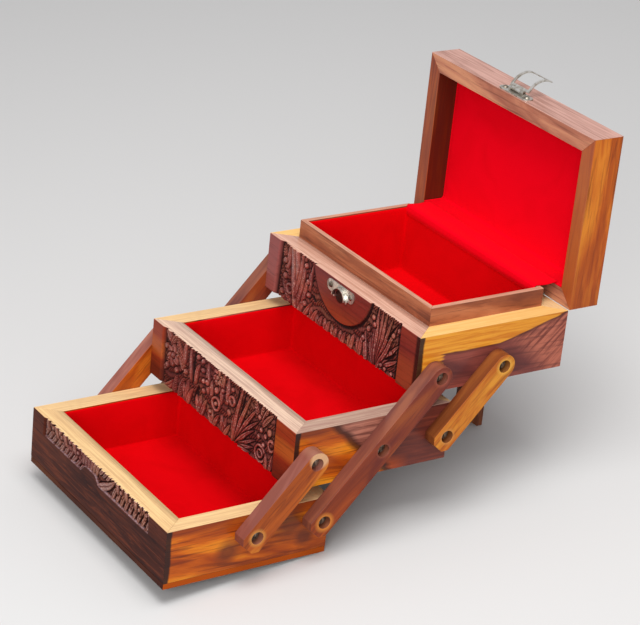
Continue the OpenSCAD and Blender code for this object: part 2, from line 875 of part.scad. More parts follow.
bottom_front();
bottom_back();
bottom_left();
bottom_right();
bottom_base();
bottom_lining();
bottom_pivot_screws();
middle_front();
middle_back();
middle_left();
middle_right();
middle_base();
middle_lining();
middle_pivot_screws();
top_front();
top_back();
top_left();
top_right();
top_base();
top_lining();
top_pivot_screws();
lip_front();
lip_back();
lip_left();
lip_right();
prop_leg();
prop_leg_screws();
catch_plate();
catch_screws();
box_hinge_leaves();
box_hinge_screws();
hinge_pins();
hinge_cloth();
lid_front();
lid_back();
lid_left();
lid_right();
lid_panel();
lid_lining();
lid_hinge_leaves();
lid_hinge_screws();
hasp_plate();
hasp_screws();
hasp_pin();
hasp();
front_arm_left();
front_arm_right();
long_arm_left();
long_arm_right();
rear_arm_left();
rear_arm_right();
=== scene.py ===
# %% [markdown]
# A wooden jewelry box with three trays that open like stairs. The solids come
# from the frame: boards, arms, hinges, hasp. This script gives them their
# finish, and models what a solid is too plain for: the carved fronts, the
# velvet linings and the cloth that joins the lid to the box. We load the frame
# first, because every size below is measured on it.

# %% Load the frame
import json
import math

import bpy
import numpy as np
from mathutils import Matrix, Vector


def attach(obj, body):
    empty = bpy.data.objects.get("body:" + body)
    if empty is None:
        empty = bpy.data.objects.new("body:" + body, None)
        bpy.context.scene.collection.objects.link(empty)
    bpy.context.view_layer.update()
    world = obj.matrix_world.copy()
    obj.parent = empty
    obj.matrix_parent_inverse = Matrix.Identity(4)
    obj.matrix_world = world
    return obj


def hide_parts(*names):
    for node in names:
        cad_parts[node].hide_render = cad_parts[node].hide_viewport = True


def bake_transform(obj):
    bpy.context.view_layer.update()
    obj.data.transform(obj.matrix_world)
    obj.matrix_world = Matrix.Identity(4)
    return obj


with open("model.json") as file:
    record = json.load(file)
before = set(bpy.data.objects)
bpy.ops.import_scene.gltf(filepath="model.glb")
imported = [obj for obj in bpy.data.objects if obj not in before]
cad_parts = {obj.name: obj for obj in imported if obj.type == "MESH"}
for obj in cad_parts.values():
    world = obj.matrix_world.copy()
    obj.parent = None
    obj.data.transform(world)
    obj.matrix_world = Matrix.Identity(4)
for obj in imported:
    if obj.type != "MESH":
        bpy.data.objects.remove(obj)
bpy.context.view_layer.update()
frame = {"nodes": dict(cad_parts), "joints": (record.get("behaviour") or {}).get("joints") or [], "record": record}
MM = 0.001


# %% [markdown]
# The half open box stands tipped back: on the rear edge of the bottom tray and
# on the foot of a leg behind. Shapes are easier to think of on a level box, so
# points are worked out level and tipped at the end. The normal of the
# underside, kept in the frame's record, gives the angle.

# %% Level and tipped points
joints = {joint["name"]: joint for joint in frame["joints"]}
underside = frame["record"]["mounts"][0]
LEAN = math.atan2(-underside["axis"][1], -underside["axis"][2])
COS, SIN = math.cos(LEAN), math.sin(LEAN)


def turned(points, sin):
    """Turns points about X: y' = y cos - z sin, z' = y sin + z cos."""
    x, y, z = np.moveaxis(np.asarray(points, float), -1, 0)
    return np.stack([x, y * COS - z * sin, y * sin + z * COS], -1)


def level(points):
    """Turns tipped points level."""
    return turned(points, SIN)


def tipped(points):
    """Turns level points back into the frame, the other way round."""
    return turned(points, -SIN)


def level_box(name):
    """Lowest and highest corner of a solid of the frame, turned level."""
    mesh = frame["nodes"][name].data
    flat = np.zeros(len(mesh.vertices) * 3, np.float32)
    mesh.vertices.foreach_get("co", flat)
    points = level(flat.reshape(-1, 3))
    return points.min(0), points.max(0)


print("the box leans back by %.2f degrees" % math.degrees(LEAN))

# %% [markdown]
# The three trays are made from the same boards, so the middle one gives the
# sizes of all. Each tray has coordinates of its own, which start at the middle
# of its front lower edge.

# %% Trays
front_low, front_high = level_box("middle_front")
side_low, side_high = level_box("middle_right")
HALF_W = front_high[0]
FRONT_WALL = front_high[1] - front_low[1]
SIDE_WALL = side_high[0] - side_low[0]
TRAY_H = side_high[2] - side_low[2]


def tray_origin(tray):
    """The middle of a tray's front lower edge, level."""
    return np.array([0, level_box(tray + "_front")[0][1], level_box(tray + "_base")[0][2]])


ORIGIN = {tray: tray_origin(tray) for tray in ("bottom", "middle", "top")}
for tray, origin in ORIGIN.items():
    print(tray, "tray starts at", np.round(origin / MM, 2), "mm")

# %% [markdown]
# The new pieces are grids: rows and columns of points, where four neighbours
# make a face. One helper turns such a grid into a mesh. It can close the grid
# round, cap its ends, and store a number per point, which a material can read.

# %% Grid mesh
def make_mesh(name, grid, closed=None, values=None):
    """A piece from a level grid of points, as rows by columns by X, Y and Z.

    closed="rows" joins the last row to the first and caps both ends of the
    rows. closed="columns" joins the last column to the first and caps the
    first and the last row.
    """
    rows, columns = grid.shape[:2]
    index = np.arange(rows * columns).reshape(rows, columns)
    caps = []
    if closed == "rows":
        caps = [index[::-1, 0], index[:, -1]]
        index = np.vstack([index, index[:1]])
    elif closed == "columns":
        caps = [index[0, ::-1], index[-1]]
        index = np.hstack([index, index[:, :1]])
    quads = np.stack([index[:-1, :-1], index[:-1, 1:], index[1:, 1:], index[1:, :-1]], -1)
    faces = quads.reshape(-1, 4).tolist() + [cap.tolist() for cap in caps]
    mesh = bpy.data.meshes.new(name)
    mesh.from_pydata(tipped(grid).reshape(-1, 3).tolist(), [], faces)
    for key, numbers in (values or {}).items():
        attribute = mesh.attributes.new(key, "FLOAT", "POINT")
        attribute.data.foreach_set("value", np.asarray(numbers, np.float32).ravel())
    mesh.polygons.foreach_set("use_smooth", [True] * len(mesh.polygons))
    mesh.update()
    piece = bpy.data.objects.new(name, mesh)
    bpy.context.scene.collection.objects.link(piece)
    print(name, len(mesh.vertices), "points", len(mesh.polygons), "faces")
    return piece


# %% [markdown]
# The carver leaves leaves, berries and curls standing almost as high as the
# board and parts them with narrow cuts. So a board starts as low, rough ground,
# and each motif is laid over what is there: inside its outline its own rounded
# crest stands, and just outside a cut sinks the neighbours. far is the distance
# to the outline in mm, negative inside. Heights run from 0, the deepest cut, to
# 1, the face of the board.

# %% Carving tools
def step_up(value, soft):
    """0 below zero, 1 above, with a smooth ramp of the given width: 3t^2 - 2t^3."""
    t = np.clip(value / soft + 0.5, 0, 1)
    return t * t * (3 - 2 * t)


def lay(relief, far, crest, cut=0.85):
    """crest inside the outline; outside, relief * (1 - e^-(far/0.75)^2)."""
    sunk = relief * (1 - cut * np.exp(-((np.maximum(far, 0) / 0.75) ** 2)))
    inside = step_up(-far, 0.45)
    return sunk * (1 - inside) + crest * inside


# %% Leaf
def along(x, z, foot, tip, bow):
    """Share of the way from foot to tip, distance aside of a bowed middle line, length."""
    run = np.subtract(tip, foot)
    length = np.hypot(*run)
    ux, uz = run / length
    s = ((x - foot[0]) * ux + (z - foot[1]) * uz) / length
    held = np.clip(s, 0, 1)
    t = (z - foot[1]) * ux - (x - foot[0]) * uz - 4 * bow * held * (1 - held)
    return s, t, length


def leaf(relief, x, z, foot, tip, half, bow=0.0, ribs=0.0, top=0.95):
    """A pointed leaf: half sin(pi s^0.8)^0.7 wide, creased, with slanted ribs if asked."""
    s, t, length = along(x, z, foot, tip, bow)
    held = np.clip(s, 0, 1)
    width = half * np.sin(np.pi * held ** 0.8) ** 0.7
    far = np.where(s == held, np.abs(t) - width, np.hypot(t, (s - held) * length * 1.5))
    dome = np.sqrt(np.clip(1 - (t / (width + 1e-6)) ** 2, 0, 1))
    crest = top * (0.58 + 0.42 * dome) * (1 - 0.35 * np.exp(-((t / (0.16 * half + 0.12)) ** 2)))
    if ribs:
        crest = crest * (0.8 + 0.2 * np.cos(2 * np.pi * (s * length - np.abs(t)) / ribs))
    return lay(relief, far, crest)


# %% Berry, curl, flower and gap
def berry(relief, x, z, centre, radius=2.3):
    """A round berry: half a ball."""
    far = np.hypot(x - centre[0], z - centre[1])
    dome = np.sqrt(np.clip(1 - (far / radius) ** 2, 0, 1))
    return lay(relief, far - radius, 0.3 + 0.7 * dome, 0.95)


def curl(relief, x, z, centre, radius, half=1.1):
    """A rounded ridge along a circle."""
    far = np.abs(np.hypot(x - centre[0], z - centre[1]) - radius)
    dome = np.sqrt(np.clip(1 - (far / half) ** 2, 0, 1))
    return lay(relief, far - half, 0.45 + 0.45 * dome)


def flower(relief, x, z, centre, radius, petals, turn=0.0):
    """A ring of petals with a berry in the middle."""
    for angle in turn + np.arange(petals) * 2 * np.pi / petals:
        tip = (centre[0] + radius * np.cos(angle), centre[1] + radius * np.sin(angle))
        relief = leaf(relief, x, z, centre, tip, radius * 0.34)
    return berry(relief, x, z, centre, radius * 0.26)


def gap(relief, x, z, foot, tip, half, bow=0.0):
    """A dark opening between leaves: the ground cut to its deepest."""
    s, t, _ = along(x, z, foot, tip, bow)
    held = np.clip(s, 0, 1)
    width = half * np.sqrt(np.sin(np.pi * held))
    inside = step_up(width - np.abs(t), 0.7) * (s == held)
    return relief * (1 - inside)


# %% Ground, and the whole carving
ROW = 4.6  # height of a row of gouge cuts, in mm


def gouged_ground(x, z):
    """Ground filled with rows of small gouge cuts that lean left and right by turns."""
    height = z / ROW + 0.25 * np.sin(0.31 * x)
    row = np.floor(height)
    share = height - row
    lean = np.where(row % 2 == 0, 0.7, -0.7)
    cuts = 0.5 + 0.5 * np.sin(2.5 * (x + lean * z) + 1.4 * np.sin(0.5 * z) + 2 * row)
    return 0.22 + 0.42 * cuts ** 0.6 * np.sin(np.pi * share) ** 0.5


def by_hand(x, z):
    """Slow waves of a third of a millimetre, so that no two leaves are quite alike."""
    return (
        x + 0.30 * np.sin(0.20 * z + 0.13 * x) + 0.05 * np.sin(1.1 * z - 0.5 * x),
        z + 0.30 * np.sin(0.18 * x + 0.14 * z) + 0.05 * np.sin(1.0 * x + 0.6 * z),
    )


def carve(x, z, layout):
    """Lays the motifs of a layout in their order: (tool, place, more...)."""
    x, z = by_hand(x, z)
    relief = gouged_ground(x, z)
    for tool, *place in layout:
        relief = tool(relief, x, z, *place)
    return np.clip(relief, 0, 1)


def fan(foot, tips, half, bow=0.0, ribs=0.0):
    """Leaves from one foot to each of the tips."""
    return [(leaf, foot, tip, half, bow, ribs) for tip in tips]


def berries(centres, radius=2.3):
    """Berries of one size."""
    return [(berry, centre, radius) for centre in centres]


# %% [markdown]
# The three layouts, with X from the middle of the board and Z from its lower
# edge in mm. On the left and the right tall leaves lean outward, and flowers,
# berries and curls fill the room between them.

# %% Carving layouts
TOP_LAYOUT = [
    (leaf, (-72, -3), (-82, 12), 3.0, 1.0, 2.4),
    (leaf, (-66, 0), (-80, 26), 3.2, 2.0, 2.4),
    (leaf, (-70, 22), (-81, 44), 3.4, 1.0, 2.4),
    (leaf, (-73, 26), (-72, 48), 2.6, 0.0),
    *berries([(-77, 32), (-76, 20), (-79, 6)], 2.7),
    (curl, (-69, 12), 3.6),
    (leaf, (-52, -28), (-73, 86), 6.2, 0.0, 0.0, 0.98),
    (leaf, (-61, 7), (-54.5, 50), 1.9, -2.0),
    (leaf, (-57, 1), (-50, 48), 1.9, -1.5),
    (leaf, (-52, -3), (-46.5, 34), 1.9, -1.0),
    (leaf, (-49, -3), (-38, 14), 2.0, -1.0),
    (leaf, (-42, 20), (-40, 46), 1.7, 0.5),
    (leaf, (-44, -3), (-34, 5), 1.8, -0.5),
    *berries([(-49, 38.5), (-45, 27.5), (-43, 17.5), (-47, 8.5)]),
    (gap, (-41, 43), (-43.5, 34), 1.2),
    (gap, (-38, 34), (-40, 23), 1.1),
    (gap, (-39, 20), (-33, 16), 1.6),
    *fan((-36, -4), [(-37, 11), (-30, 11)], 2.3, 0.5),
    *fan((-26, -4), [(-29, 8), (-23, 9)], 2.2, 0.5),
    *fan((-16, -4), [(-19, 9), (-12, 9)], 2.2, 0.5),
    *fan((-5, -4), [(-9, 8), (-2, 9)], 2.2, 0.5),
    *fan((6, -4), [(3, 9), (9, 10)], 2.2, 0.5),
    *fan((17, -4), [(14, 10), (20, 13)], 2.2, 0.5),
    *fan((28, -4), [(25, 13), (31, 18)], 2.3, 0.5),
    (leaf, (38, -3), (34, 22), 2.4, 0.8),
    *fan((49, -4), [(41, 20), (44, 31), (48, 47), (77, 16), (78, 29)], 2.0, 1.0),
    *fan((49, -4), [(53, 47), (58, 47), (65, 45), (72, 42)], 2.0, -1.0),
    *berries([(42, 35.5), (44, 30.5), (37, 24.5), (32, 15.5), (68, 32), (74, 38)]),
    (berry, (67, 17.5), 2.7),
    *berries([(62, 3), (70, 3), (57, 4)], 1.8),
    (gap, (45, 34), (46.5, 46), 1.1),
    (gap, (61, 26), (70, 40), 1.0),
    (gap, (60, 10), (73, 20), 1.0),
]

MIDDLE_LAYOUT = [
    (leaf, (-71, 36), (-82, 45), 3.2, -0.5),
    (leaf, (-80, -2), (-66, 11), 2.9, -1.5),
    (leaf, (-82, 12), (-74, 24), 2.4, 0.5),
    (leaf, (-66, -3), (-62, 16), 2.6, 1.0, 2.2),
    (leaf, (-74, 34), (-64, 48), 2.6, 1.0, 2.2),
    (leaf, (-58, -3), (-52, 18), 2.8, 1.0, 2.2),
    (leaf, (-50, 19), (-66, 46), 4.2, 1.5, 2.3),
    (leaf, (-53, 28), (-52, 48), 2.2, 0.5),
    (flower, (-70, 28), 9.5, 6, 0.5),
    *berries([(-80, 32), (-78, 17.5), (-64, 18.5), (-51, 23.5)], 2.5),
    (gap, (-61, 16.5), (-54, 22.5), 1.0),
    (gap, (-47.5, 28), (-47, 47), 1.7),
    (gap, (-40.5, 18), (-39.5, 47), 1.9),
    (leaf, (-42.6, 18), (-45, 50), 1.5, 0.4),
    *fan((-46, -3), [(-52, 14), (-46, 20), (-39, 16)], 2.3, 0.5),
    (gap, (-37, 6), (-31, 21), 2.3),
    (leaf, (-36, 20), (-32, 38), 2.2, 1.0),
    *fan((-26, -3), [(-34, 13), (-27, 16), (-19, 15)], 2.2, 0.5),
    *berries([(-27, 35), (-25, 27), (-24, 19.5), (-35, 42), (-28, 42)], 2.2),
    (leaf, (-17, 20), (-20, 45), 2.4, 1.0),
    (leaf, (-12, 20), (-14, 34), 1.9, 0.5),
    (flower, (-6, 38.5), 7.0, 6, 0.3),
    *fan((-8, -3), [(-17, 12), (-10, 12), (0, 12)], 2.0, 0.5),
    *fan((6, -3), [(3, 14), (9, 14), (15, 11)], 2.0, -0.5),
    (leaf, (1, 20), (4, 47), 2.3, 1.0),
    (leaf, (9, 23), (8, 46), 2.3, -1.0),
    (curl, (-6, 18), 4.8),
    (curl, (15.5, 30), 3.3),
    *berries([(-20, 28.5), (-7, 28.3), (12, 19)], 2.7),
    *berries([(-6, 18), (-13, 8), (15, 39), (2, 31.5)], 2.0),
    (gap, (21.5, 10), (24, 47), 1.2, 0.8),
    (gap, (27, 18), (34, 47), 1.2, 0.8),
    (leaf, (18.5, -1), (18.5, 21), 1.5),
    (leaf, (19, -4), (30, 50), 1.9, 1.6),
    *fan((21, -4), [(42, 48), (53, 44), (52, 31), (47, 21)], 1.9, 2.0),
    *fan((21, -4), [(50, 14.5), (48, 8), (44, 2.5)], 1.6, 1.2),
    *fan((57, 29), [(56, 46), (63, 46), (70, 44)], 2.4, 0.5, 2.2),
    (leaf, (52, 34), (46, 46), 2.2, 0.5, 2.2),
    *berries([(62, 24), (56, 26.5), (53, 35), (53, 20), (60, 16.5)], 2.1),
    (curl, (57, 8), 6.3, 1.0),
    (curl, (57, 8), 3.0, 0.9),
    (curl, (70.5, 20), 3.8),
    (leaf, (71, 1), (73, 15), 2.2),
    (leaf, (66, -2), (64, 12), 1.9),
    (berry, (67, 28.5), 2.9),
]

BOTTOM_LAYOUT = [
    *[(leaf, (x, 30), (x + 9, 44), 2.0, -1.2) for x in np.arange(-84, -24, 6.4)],
    *[(leaf, (x + 7, 37), (x, 50), 1.8, 0.8) for x in np.arange(-82, -22, 6.9)],
    *berries([(-70, 42), (-56, 41), (-43, 43), (-31, 41)], 1.9),
    *[(leaf, (x, 36), (x + 5, 50), 1.9, 0.8) for x in np.arange(-23, -1, 4.2)],
    *[(leaf, (x, 30), (x + 8, 44), 2.0, 1.2) for x in np.arange(22, 74, 6.2)],
    *[(leaf, (x + 6, 37), (x, 50), 1.8, -0.8) for x in np.arange(24, 74, 6.6)],
    *berries([(34, 41), (47, 42), (60, 41), (70, 42)], 1.9),
    *[(leaf, (x, 40), (x + 7, 50), 1.8, -0.6) for x in (2, 7, 12, 17)],
    (leaf, (-1, 29), (25, 45), 3.2, -1.5, 0.0, 1.0),
]

# %% [markdown]
# The carving ends at plain margins on both sides, along an upright groove. On
# the top board a plain shield stays at the full height inside a cut moat, and
# on the bottom board only a strip under the rim is carved. A depth function
# joins all that for each board, in mm.

# %% Depth of each face
CARVE = 2.4  # the deepest cut
SHIELD_R = 38.0
SHIELD_LOW = 14.0


def groove(x, middle, width, deep):
    """A V cut along an upright line: deep in the middle, 0 a width away."""
    return deep * np.clip(1 - np.abs(x - middle) / width, 0, 1)


def ends(x, left, right):
    """1 between the margins, 0 on them."""
    return step_up(x - left, 1.0) * step_up(right - x, 1.0)


def top_depth(x, z):
    """Depth of the top board's face, and where it is carved; the left margin is slanted."""
    far = np.hypot(x, z - SHIELD_LOW - SHIELD_R) - SHIELD_R
    moat = np.exp(-(((far - 1.5) / 1.2) ** 2))
    left = -86.5 + z * 0.07
    carved = step_up(far, 0.8) * ends(x, left, 76.5)
    depth = CARVE * (1 - carve(x, z, TOP_LAYOUT) * (1 - moat)) * carved
    return depth + groove(x, left, 2.6, 1.9) + groove(x, 75.2, 1.6, 1.2), carved


def middle_depth(x, z):
    """Depth of the middle board's face."""
    carved = ends(x, -83, 73.5)
    depth = CARVE * (1 - carve(x, z, MIDDLE_LAYOUT)) * carved
    return depth + groove(x, -83.5, 2.4, 1.7) + groove(x, 73.6, 1.7, 1.4), carved


def bottom_depth(x, z):
    """Depth of the bottom board's face; the strip's lower edge rises in the middle."""
    edge = 31.0 + 6.0 * np.exp(-(((x + 11) / 11) ** 6))
    above = step_up(z - edge, 1.4)
    carved = ends(x, -81, 74.5) * above
    depth = CARVE * (1 - 0.95 * carve(x, z, BOTTOM_LAYOUT)) * carved
    return depth + groove(x, -81.2, 1.8, 1.4) * above, carved


# %% [markdown]
# A carved front is a mitred board: its ends are slanted, to meet the side
# boards in the corners. It could be a box with a displaced face, but one closed
# grid has no seams. Its rows run along the board: the lower rear edge, the
# lower front edge, the face with its relief, and the rim back to the rear. A
# row gets shorter with its depth, as the mitre asks.

# %% Front boards
COLUMNS, FACE_ROWS = 660, 144
EDGE = 0.5  # how far the face's upper and lower edges are set back, in mm
RIM_SHARES = np.array([0.0, 0.25, 0.6, 1.0])[:, None]


def carved_front(name, tray, depth):
    """A mitred board as one closed grid: along the board, and round its section."""
    low = (level_box(tray + "_front")[0] - ORIGIN[tray])[2] / MM
    high = TRAY_H / MM
    wall, half, slope = FRONT_WALL / MM, HALF_W / MM, SIDE_WALL / FRONT_WALL
    u = np.linspace(-1, 1, COLUMNS)
    x, z = np.meshgrid(u * half, np.linspace(low + EDGE, high - EDGE, FACE_ROWS))
    face, carved = depth(x, z)
    start = face[-1] + EDGE
    y = np.vstack([np.full(COLUMNS, wall), face[0] + EDGE, face, start + (wall - start) * RIM_SHARES])
    z = np.vstack([np.full((2, COLUMNS), low), z, np.full((len(RIM_SHARES), COLUMNS), high)])
    x = u * (half - y * slope)
    off_face = ((2, len(RIM_SHARES)), (0, 0))
    piece = make_mesh(name, np.stack([x, y, z], -1) * MM + ORIGIN[tray], "rows", {
        "cut": np.pad(face / CARVE, off_face), "carved": np.pad(carved, off_face),
    })
    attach(piece, {"bottom": "bottom_tray", "middle": "middle_tray", "top": "top_box"}[tray])
    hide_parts(tray + "_front")


for tray, depth in (("bottom", bottom_depth), ("middle", middle_depth), ("top", top_depth)):
    carved_front("carved_front_" + tray, tray, depth)

# %% [markdown]
# Each tray is lined with card that is covered with velvet. A lining is a tub: a
# section that starts under the floor, goes up outside, rolls over the top edge,
# runs down inside and ends in the middle of the floor, carried round a
# rectangle with small round corners. Slow waves make it look glued by hand.

# %% Linings
AROUND, PER_CORNER = 176, 8
CORNER = 1.6 * MM
VELVET = 1.2 * MM  # pile and card together
FILLET = 2.2 * MM  # where a wall turns into the floor
CLEAR = 0.05 * MM  # kept free between the velvet and the boards
ROLL = 0.6 * MM  # how high the turned-over edge rises
SHOULDER = 0.7 * MM  # where it starts, below the top
FLOOR_SHARES = (0.93, 0.85, 0.75, 0.6, 0.45, 0.3, 0.15, 0.04)
LAST_OUTSIDE = 6  # the rings up to this one are outside or on the edge and stay straight


def rounded_rectangle(half_x, half_y):
    """AROUND points: an arc of 90 degrees at each corner, and even steps from one to the next."""
    arcs = []
    for sx, sy, start in ((1, 1, 0), (-1, 1, 90), (-1, -1, 180), (1, -1, 270)):
        angle = np.radians(start + np.linspace(0, 90, PER_CORNER))
        middle = np.array([sx * (half_x - CORNER), sy * (half_y - CORNER)])
        arcs.append(middle + CORNER * np.stack([np.cos(angle), np.sin(angle)], -1))
    per_side = AROUND // 4 - PER_CORNER
    share = (np.arange(per_side) + 1)[:, None] / (per_side + 1)
    path = []
    for arc, after in zip(arcs, arcs[1:] + arcs[:1]):
        path += [arc, arc[-1] + (after[0] - arc[-1]) * share]
    return np.concatenate(path)


def waves(points, seed):
    """A slow uneven swell between -1 and 1: three crossing sine waves."""
    x, y, z = np.moveaxis(points, -1, 0)
    a = np.sin(61 * x + 47 * y + 1.7 * seed) * np.cos(53 * z - 29 * x + seed)
    b = np.sin(113 * y - 71 * z + 2.3 * seed) * np.cos(97 * x + 0.6 * seed)
    c = np.sin(190 * x + 170 * z + seed) * np.cos(210 * y - 1.1 * seed)
    return 0.5 * a + 0.35 * b + 0.15 * c


def tub_section(floor, top):
    """How far the section stands in from the outline, and its height: up, over, down, round."""
    over, heel = np.radians([35, 70, 110, 145]), np.radians([25, 50, 75, 90])
    wall = np.linspace(0.03, 1, 14)
    inset = np.concatenate([
        [CLEAR, CLEAR], VELVET / 2 * (1 - np.cos(over)),
        np.full(len(wall), VELVET), VELVET + FILLET * (1 - np.cos(heel)),
    ])
    height = np.concatenate([
        [floor + CLEAR, top - SHOULDER], top - ROLL + ROLL * np.sin(over),
        top - SHOULDER + (floor + VELVET + FILLET - top + SHOULDER) * wall,
        floor + VELVET + FILLET * (1 - np.sin(heel)),
    ])
    return inset, height


def tub(name, node, body, seed):
    """A velvet tub in the space of a lining, as thick as its solid."""
    low, high = level_box(node)
    half_x, half_y = (high[:2] - low[:2]) / 2
    middle = ((low + high) / 2)[:2]
    floor = low[2]
    rings = [
        np.column_stack([rounded_rectangle(half_x - step, half_y - step), np.full(AROUND, z)])
        for step, z in zip(*tub_section(floor, high[2]))
    ]
    rings += [rings[-1] * (share, share, 1) for share in FLOOR_SHARES]
    grid = np.array(rings)
    grid[..., :2] += middle
    swell = waves(grid, seed)
    inside = np.arange(len(rings))[:, None] > LAST_OUTSIDE
    on_wall = inside & (grid[..., 2] > floor + VELVET + FILLET)
    on_floor = inside & (grid[..., 2] <= floor + VELVET + 0.2 * MM)
    inward = middle - grid[..., :2]
    reach = np.maximum(np.linalg.norm(inward, axis=-1), 1e-9)
    bulge = np.where(on_wall, (0.25 + 0.25 * swell) * MM, 0)
    grid[..., :2] += inward * (bulge / reach)[..., None]
    grid[..., 2] += np.where(on_floor, (0.3 + 0.3 * swell) * MM, 0)
    piece = make_mesh(name, grid, "columns")
    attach(piece, body)
    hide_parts(node)
    return piece


linings = [
    tub("velvet_bottom_tray", "bottom_lining", "bottom_tray", 1.0),
    tub("velvet_middle_tray", "middle_lining", "middle_tray", 2.2),
    tub("velvet_top_box", "top_lining", "top_box", 3.1),
]

# %% [markdown]
# The lid's lining is one length of velvet: down the panel, round an inner
# corner, and forward over the back board. Its section is an L with a round
# corner, carried from one side of the lid to the other. The swell fades at both
# sides and at the seam, so that the lid still shuts.

# %% Lid lining
def carried(line, x):
    """A section line of Y and Z, repeated at each X."""
    grid = np.empty((len(line), len(x), 3))
    grid[..., 0] = x
    grid[..., 1:] = line[:, None]
    return grid


def l_section(panel_y, face_y, low_z, top_z, corner):
    """A line of Y and Z from the lid's free edge, round a corner, to the seam."""
    down = np.append(0, np.linspace(0.03, 1, 26))
    turn = np.radians(np.linspace(12, 90, 8))
    out = np.linspace(0.1, 1, 8)
    return np.concatenate([
        np.column_stack([np.full(len(down), panel_y), top_z + (low_z + corner - top_z) * down]),
        np.column_stack([panel_y - corner * (1 - np.cos(turn)), low_z + corner * (1 - np.sin(turn))]),
        np.column_stack([panel_y - corner + (face_y - panel_y + corner) * out, np.full(len(out), low_z)]),
    ])


def lid_velvet():
    """Visible line and a second one behind it, joined at both ends, carried along X."""
    low, high = level_box("lid_lining")
    face_y, top_z, fade = low[1], high[2] - 0.2 * MM, 3 * MM
    seen = l_section(high[1] - VELVET, face_y + 0.2 * MM, low[2] + VELVET, top_z, 2.5 * MM)
    hidden = l_section(high[1], face_y + 0.2 * MM, low[2], top_z, 0.4 * MM)[::-1]
    x = np.linspace(low[0] + 0.15 * MM, high[0] - 0.15 * MM, 120)
    grid = carried(np.concatenate([seen, hidden]), x)
    shown = grid[:len(seen)]
    sides = np.minimum(1, np.minimum(x - x[0], x[-1] - x) / fade)
    seam = np.clip((shown[..., 1] - face_y) / fade, 0, 1)
    shown[..., 1] -= (0.3 + 0.35 * waves(shown, 4.4)) * sides * seam * MM
    piece = make_mesh("velvet_lid", grid, "rows")
    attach(piece, "lid")
    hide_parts("lid_lining")
    return piece


linings.append(lid_velvet())

# %% [markdown]
# A strip of the same velvet bridges the seam: it is glued inside the back of the box, turns over the lip, and runs
# nearly level to the lid, where it stops the lid at a right angle. It is a thin sheet, made thick by a Solidify
# modifier.

# %% Hinge cloth
def hinge_cloth():
    """A thin sheet: a line from inside the box over the lip to the lid, carried along X."""
    low, high = level_box("hinge_cloth")
    lip_low, lip_high = level_box("lip_back")
    thick, bend, short = 0.9 * MM, 1.6 * MM, 3.4 * MM
    over = lip_high[2] + thick + 0.1 * MM
    inside_y, end_y = lip_low[1] - 1.3 * MM, high[1] + 0.9 * MM
    glued_y, start_y = inside_y - 0.3 * MM, inside_y + bend
    turn = np.radians(np.linspace(0, 90, 7))
    share = np.linspace(0.06, 1, 18)
    sag = 0.7 * MM * np.sin(np.pi * share) ** 2
    line = np.concatenate([
        [(glued_y, over - 7 * MM), (glued_y, over - 3.5 * MM)],
        np.column_stack([inside_y + bend * (1 - np.cos(turn)), over - bend * (1 - np.sin(turn))]),
        np.column_stack([start_y + (end_y - start_y) * share, over - sag - 0.15 * MM * share]),
    ])
    x = np.linspace(low[0] + short, high[0] - short, 110)
    grid = carried(line, x)
    free = np.clip((grid[..., 1] - lip_high[1]) / (6 * MM), 0, 1)
    grid[..., 2] += waves(grid, 5.3) * free * 0.35 * MM
    piece = make_mesh("velvet_hinge_cloth", grid)
    solid = piece.modifiers.new("thickness", "SOLIDIFY")
    solid.thickness = thick
    solid.offset = 0
    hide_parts("hinge_cloth")
    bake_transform(piece)
    return piece


linings.append(hinge_cloth())

# %% [markdown]
# Sawn boards have slightly rounded edges, where the varnish wears. The solids
# come as loose triangles: a Weld modifier joins them, Decimate makes each flat
# side one face again, a small Bevel rounds the sharp edges, and Weighted Normal
# keeps the flat sides flat in the light. The solids themselves stay as they are.

# %% Round the edges of the boards
def soften(name, width, segments=2):
    """Weld, planar decimate, bevel and weighted normals, on a solid of the frame."""
    piece = frame["nodes"][name]
    weld = piece.modifiers.new("weld", "WELD")
    weld.merge_threshold = 0.02 * MM
    flat = piece.modifiers.new("flat_sides", "DECIMATE")
    flat.decimate_type = "DISSOLVE"
    flat.angle_limit = math.radians(0.5)
    bevel = piece.modifiers.new("soft_edges", "BEVEL")
    bevel.width = width
    bevel.segments = segments
    bevel.limit_method = "ANGLE"
    bevel.angle_limit = math.radians(40)
    bevel.use_clamp_overlap = True
    normals = piece.modifiers.new("even_light", "WEIGHTED_NORMAL")
    normals.keep_sharp = True


board_ends = ("_back", "_left", "_right", "_base", "_panel", "_leg")
boards = [
    name for name in frame["nodes"]
    if name.endswith(board_ends) and "_arm_" not in name or name in ("lid_front", "lip_front")
]
arms = [name for name in frame["nodes"] if "_arm_" in name]
for name in boards:
    soften(name, 0.4 * MM)
for name in arms:
    soften(name, 0.5 * MM, 3)
print("softened", len(boards), "boards and", len(arms), "arms")

# %% [markdown]
# Materials are built from small nodes. Nodes is a shorthand for one node tree:
# it adds a node and wires what it is given, blends two colours, multiplies
# numbers and turns a number into a mask. Paint is a material under way. It
# knows its place on the board, and tint lays one more tone over the colour so
# far, the way stain and polish are laid on in coats.

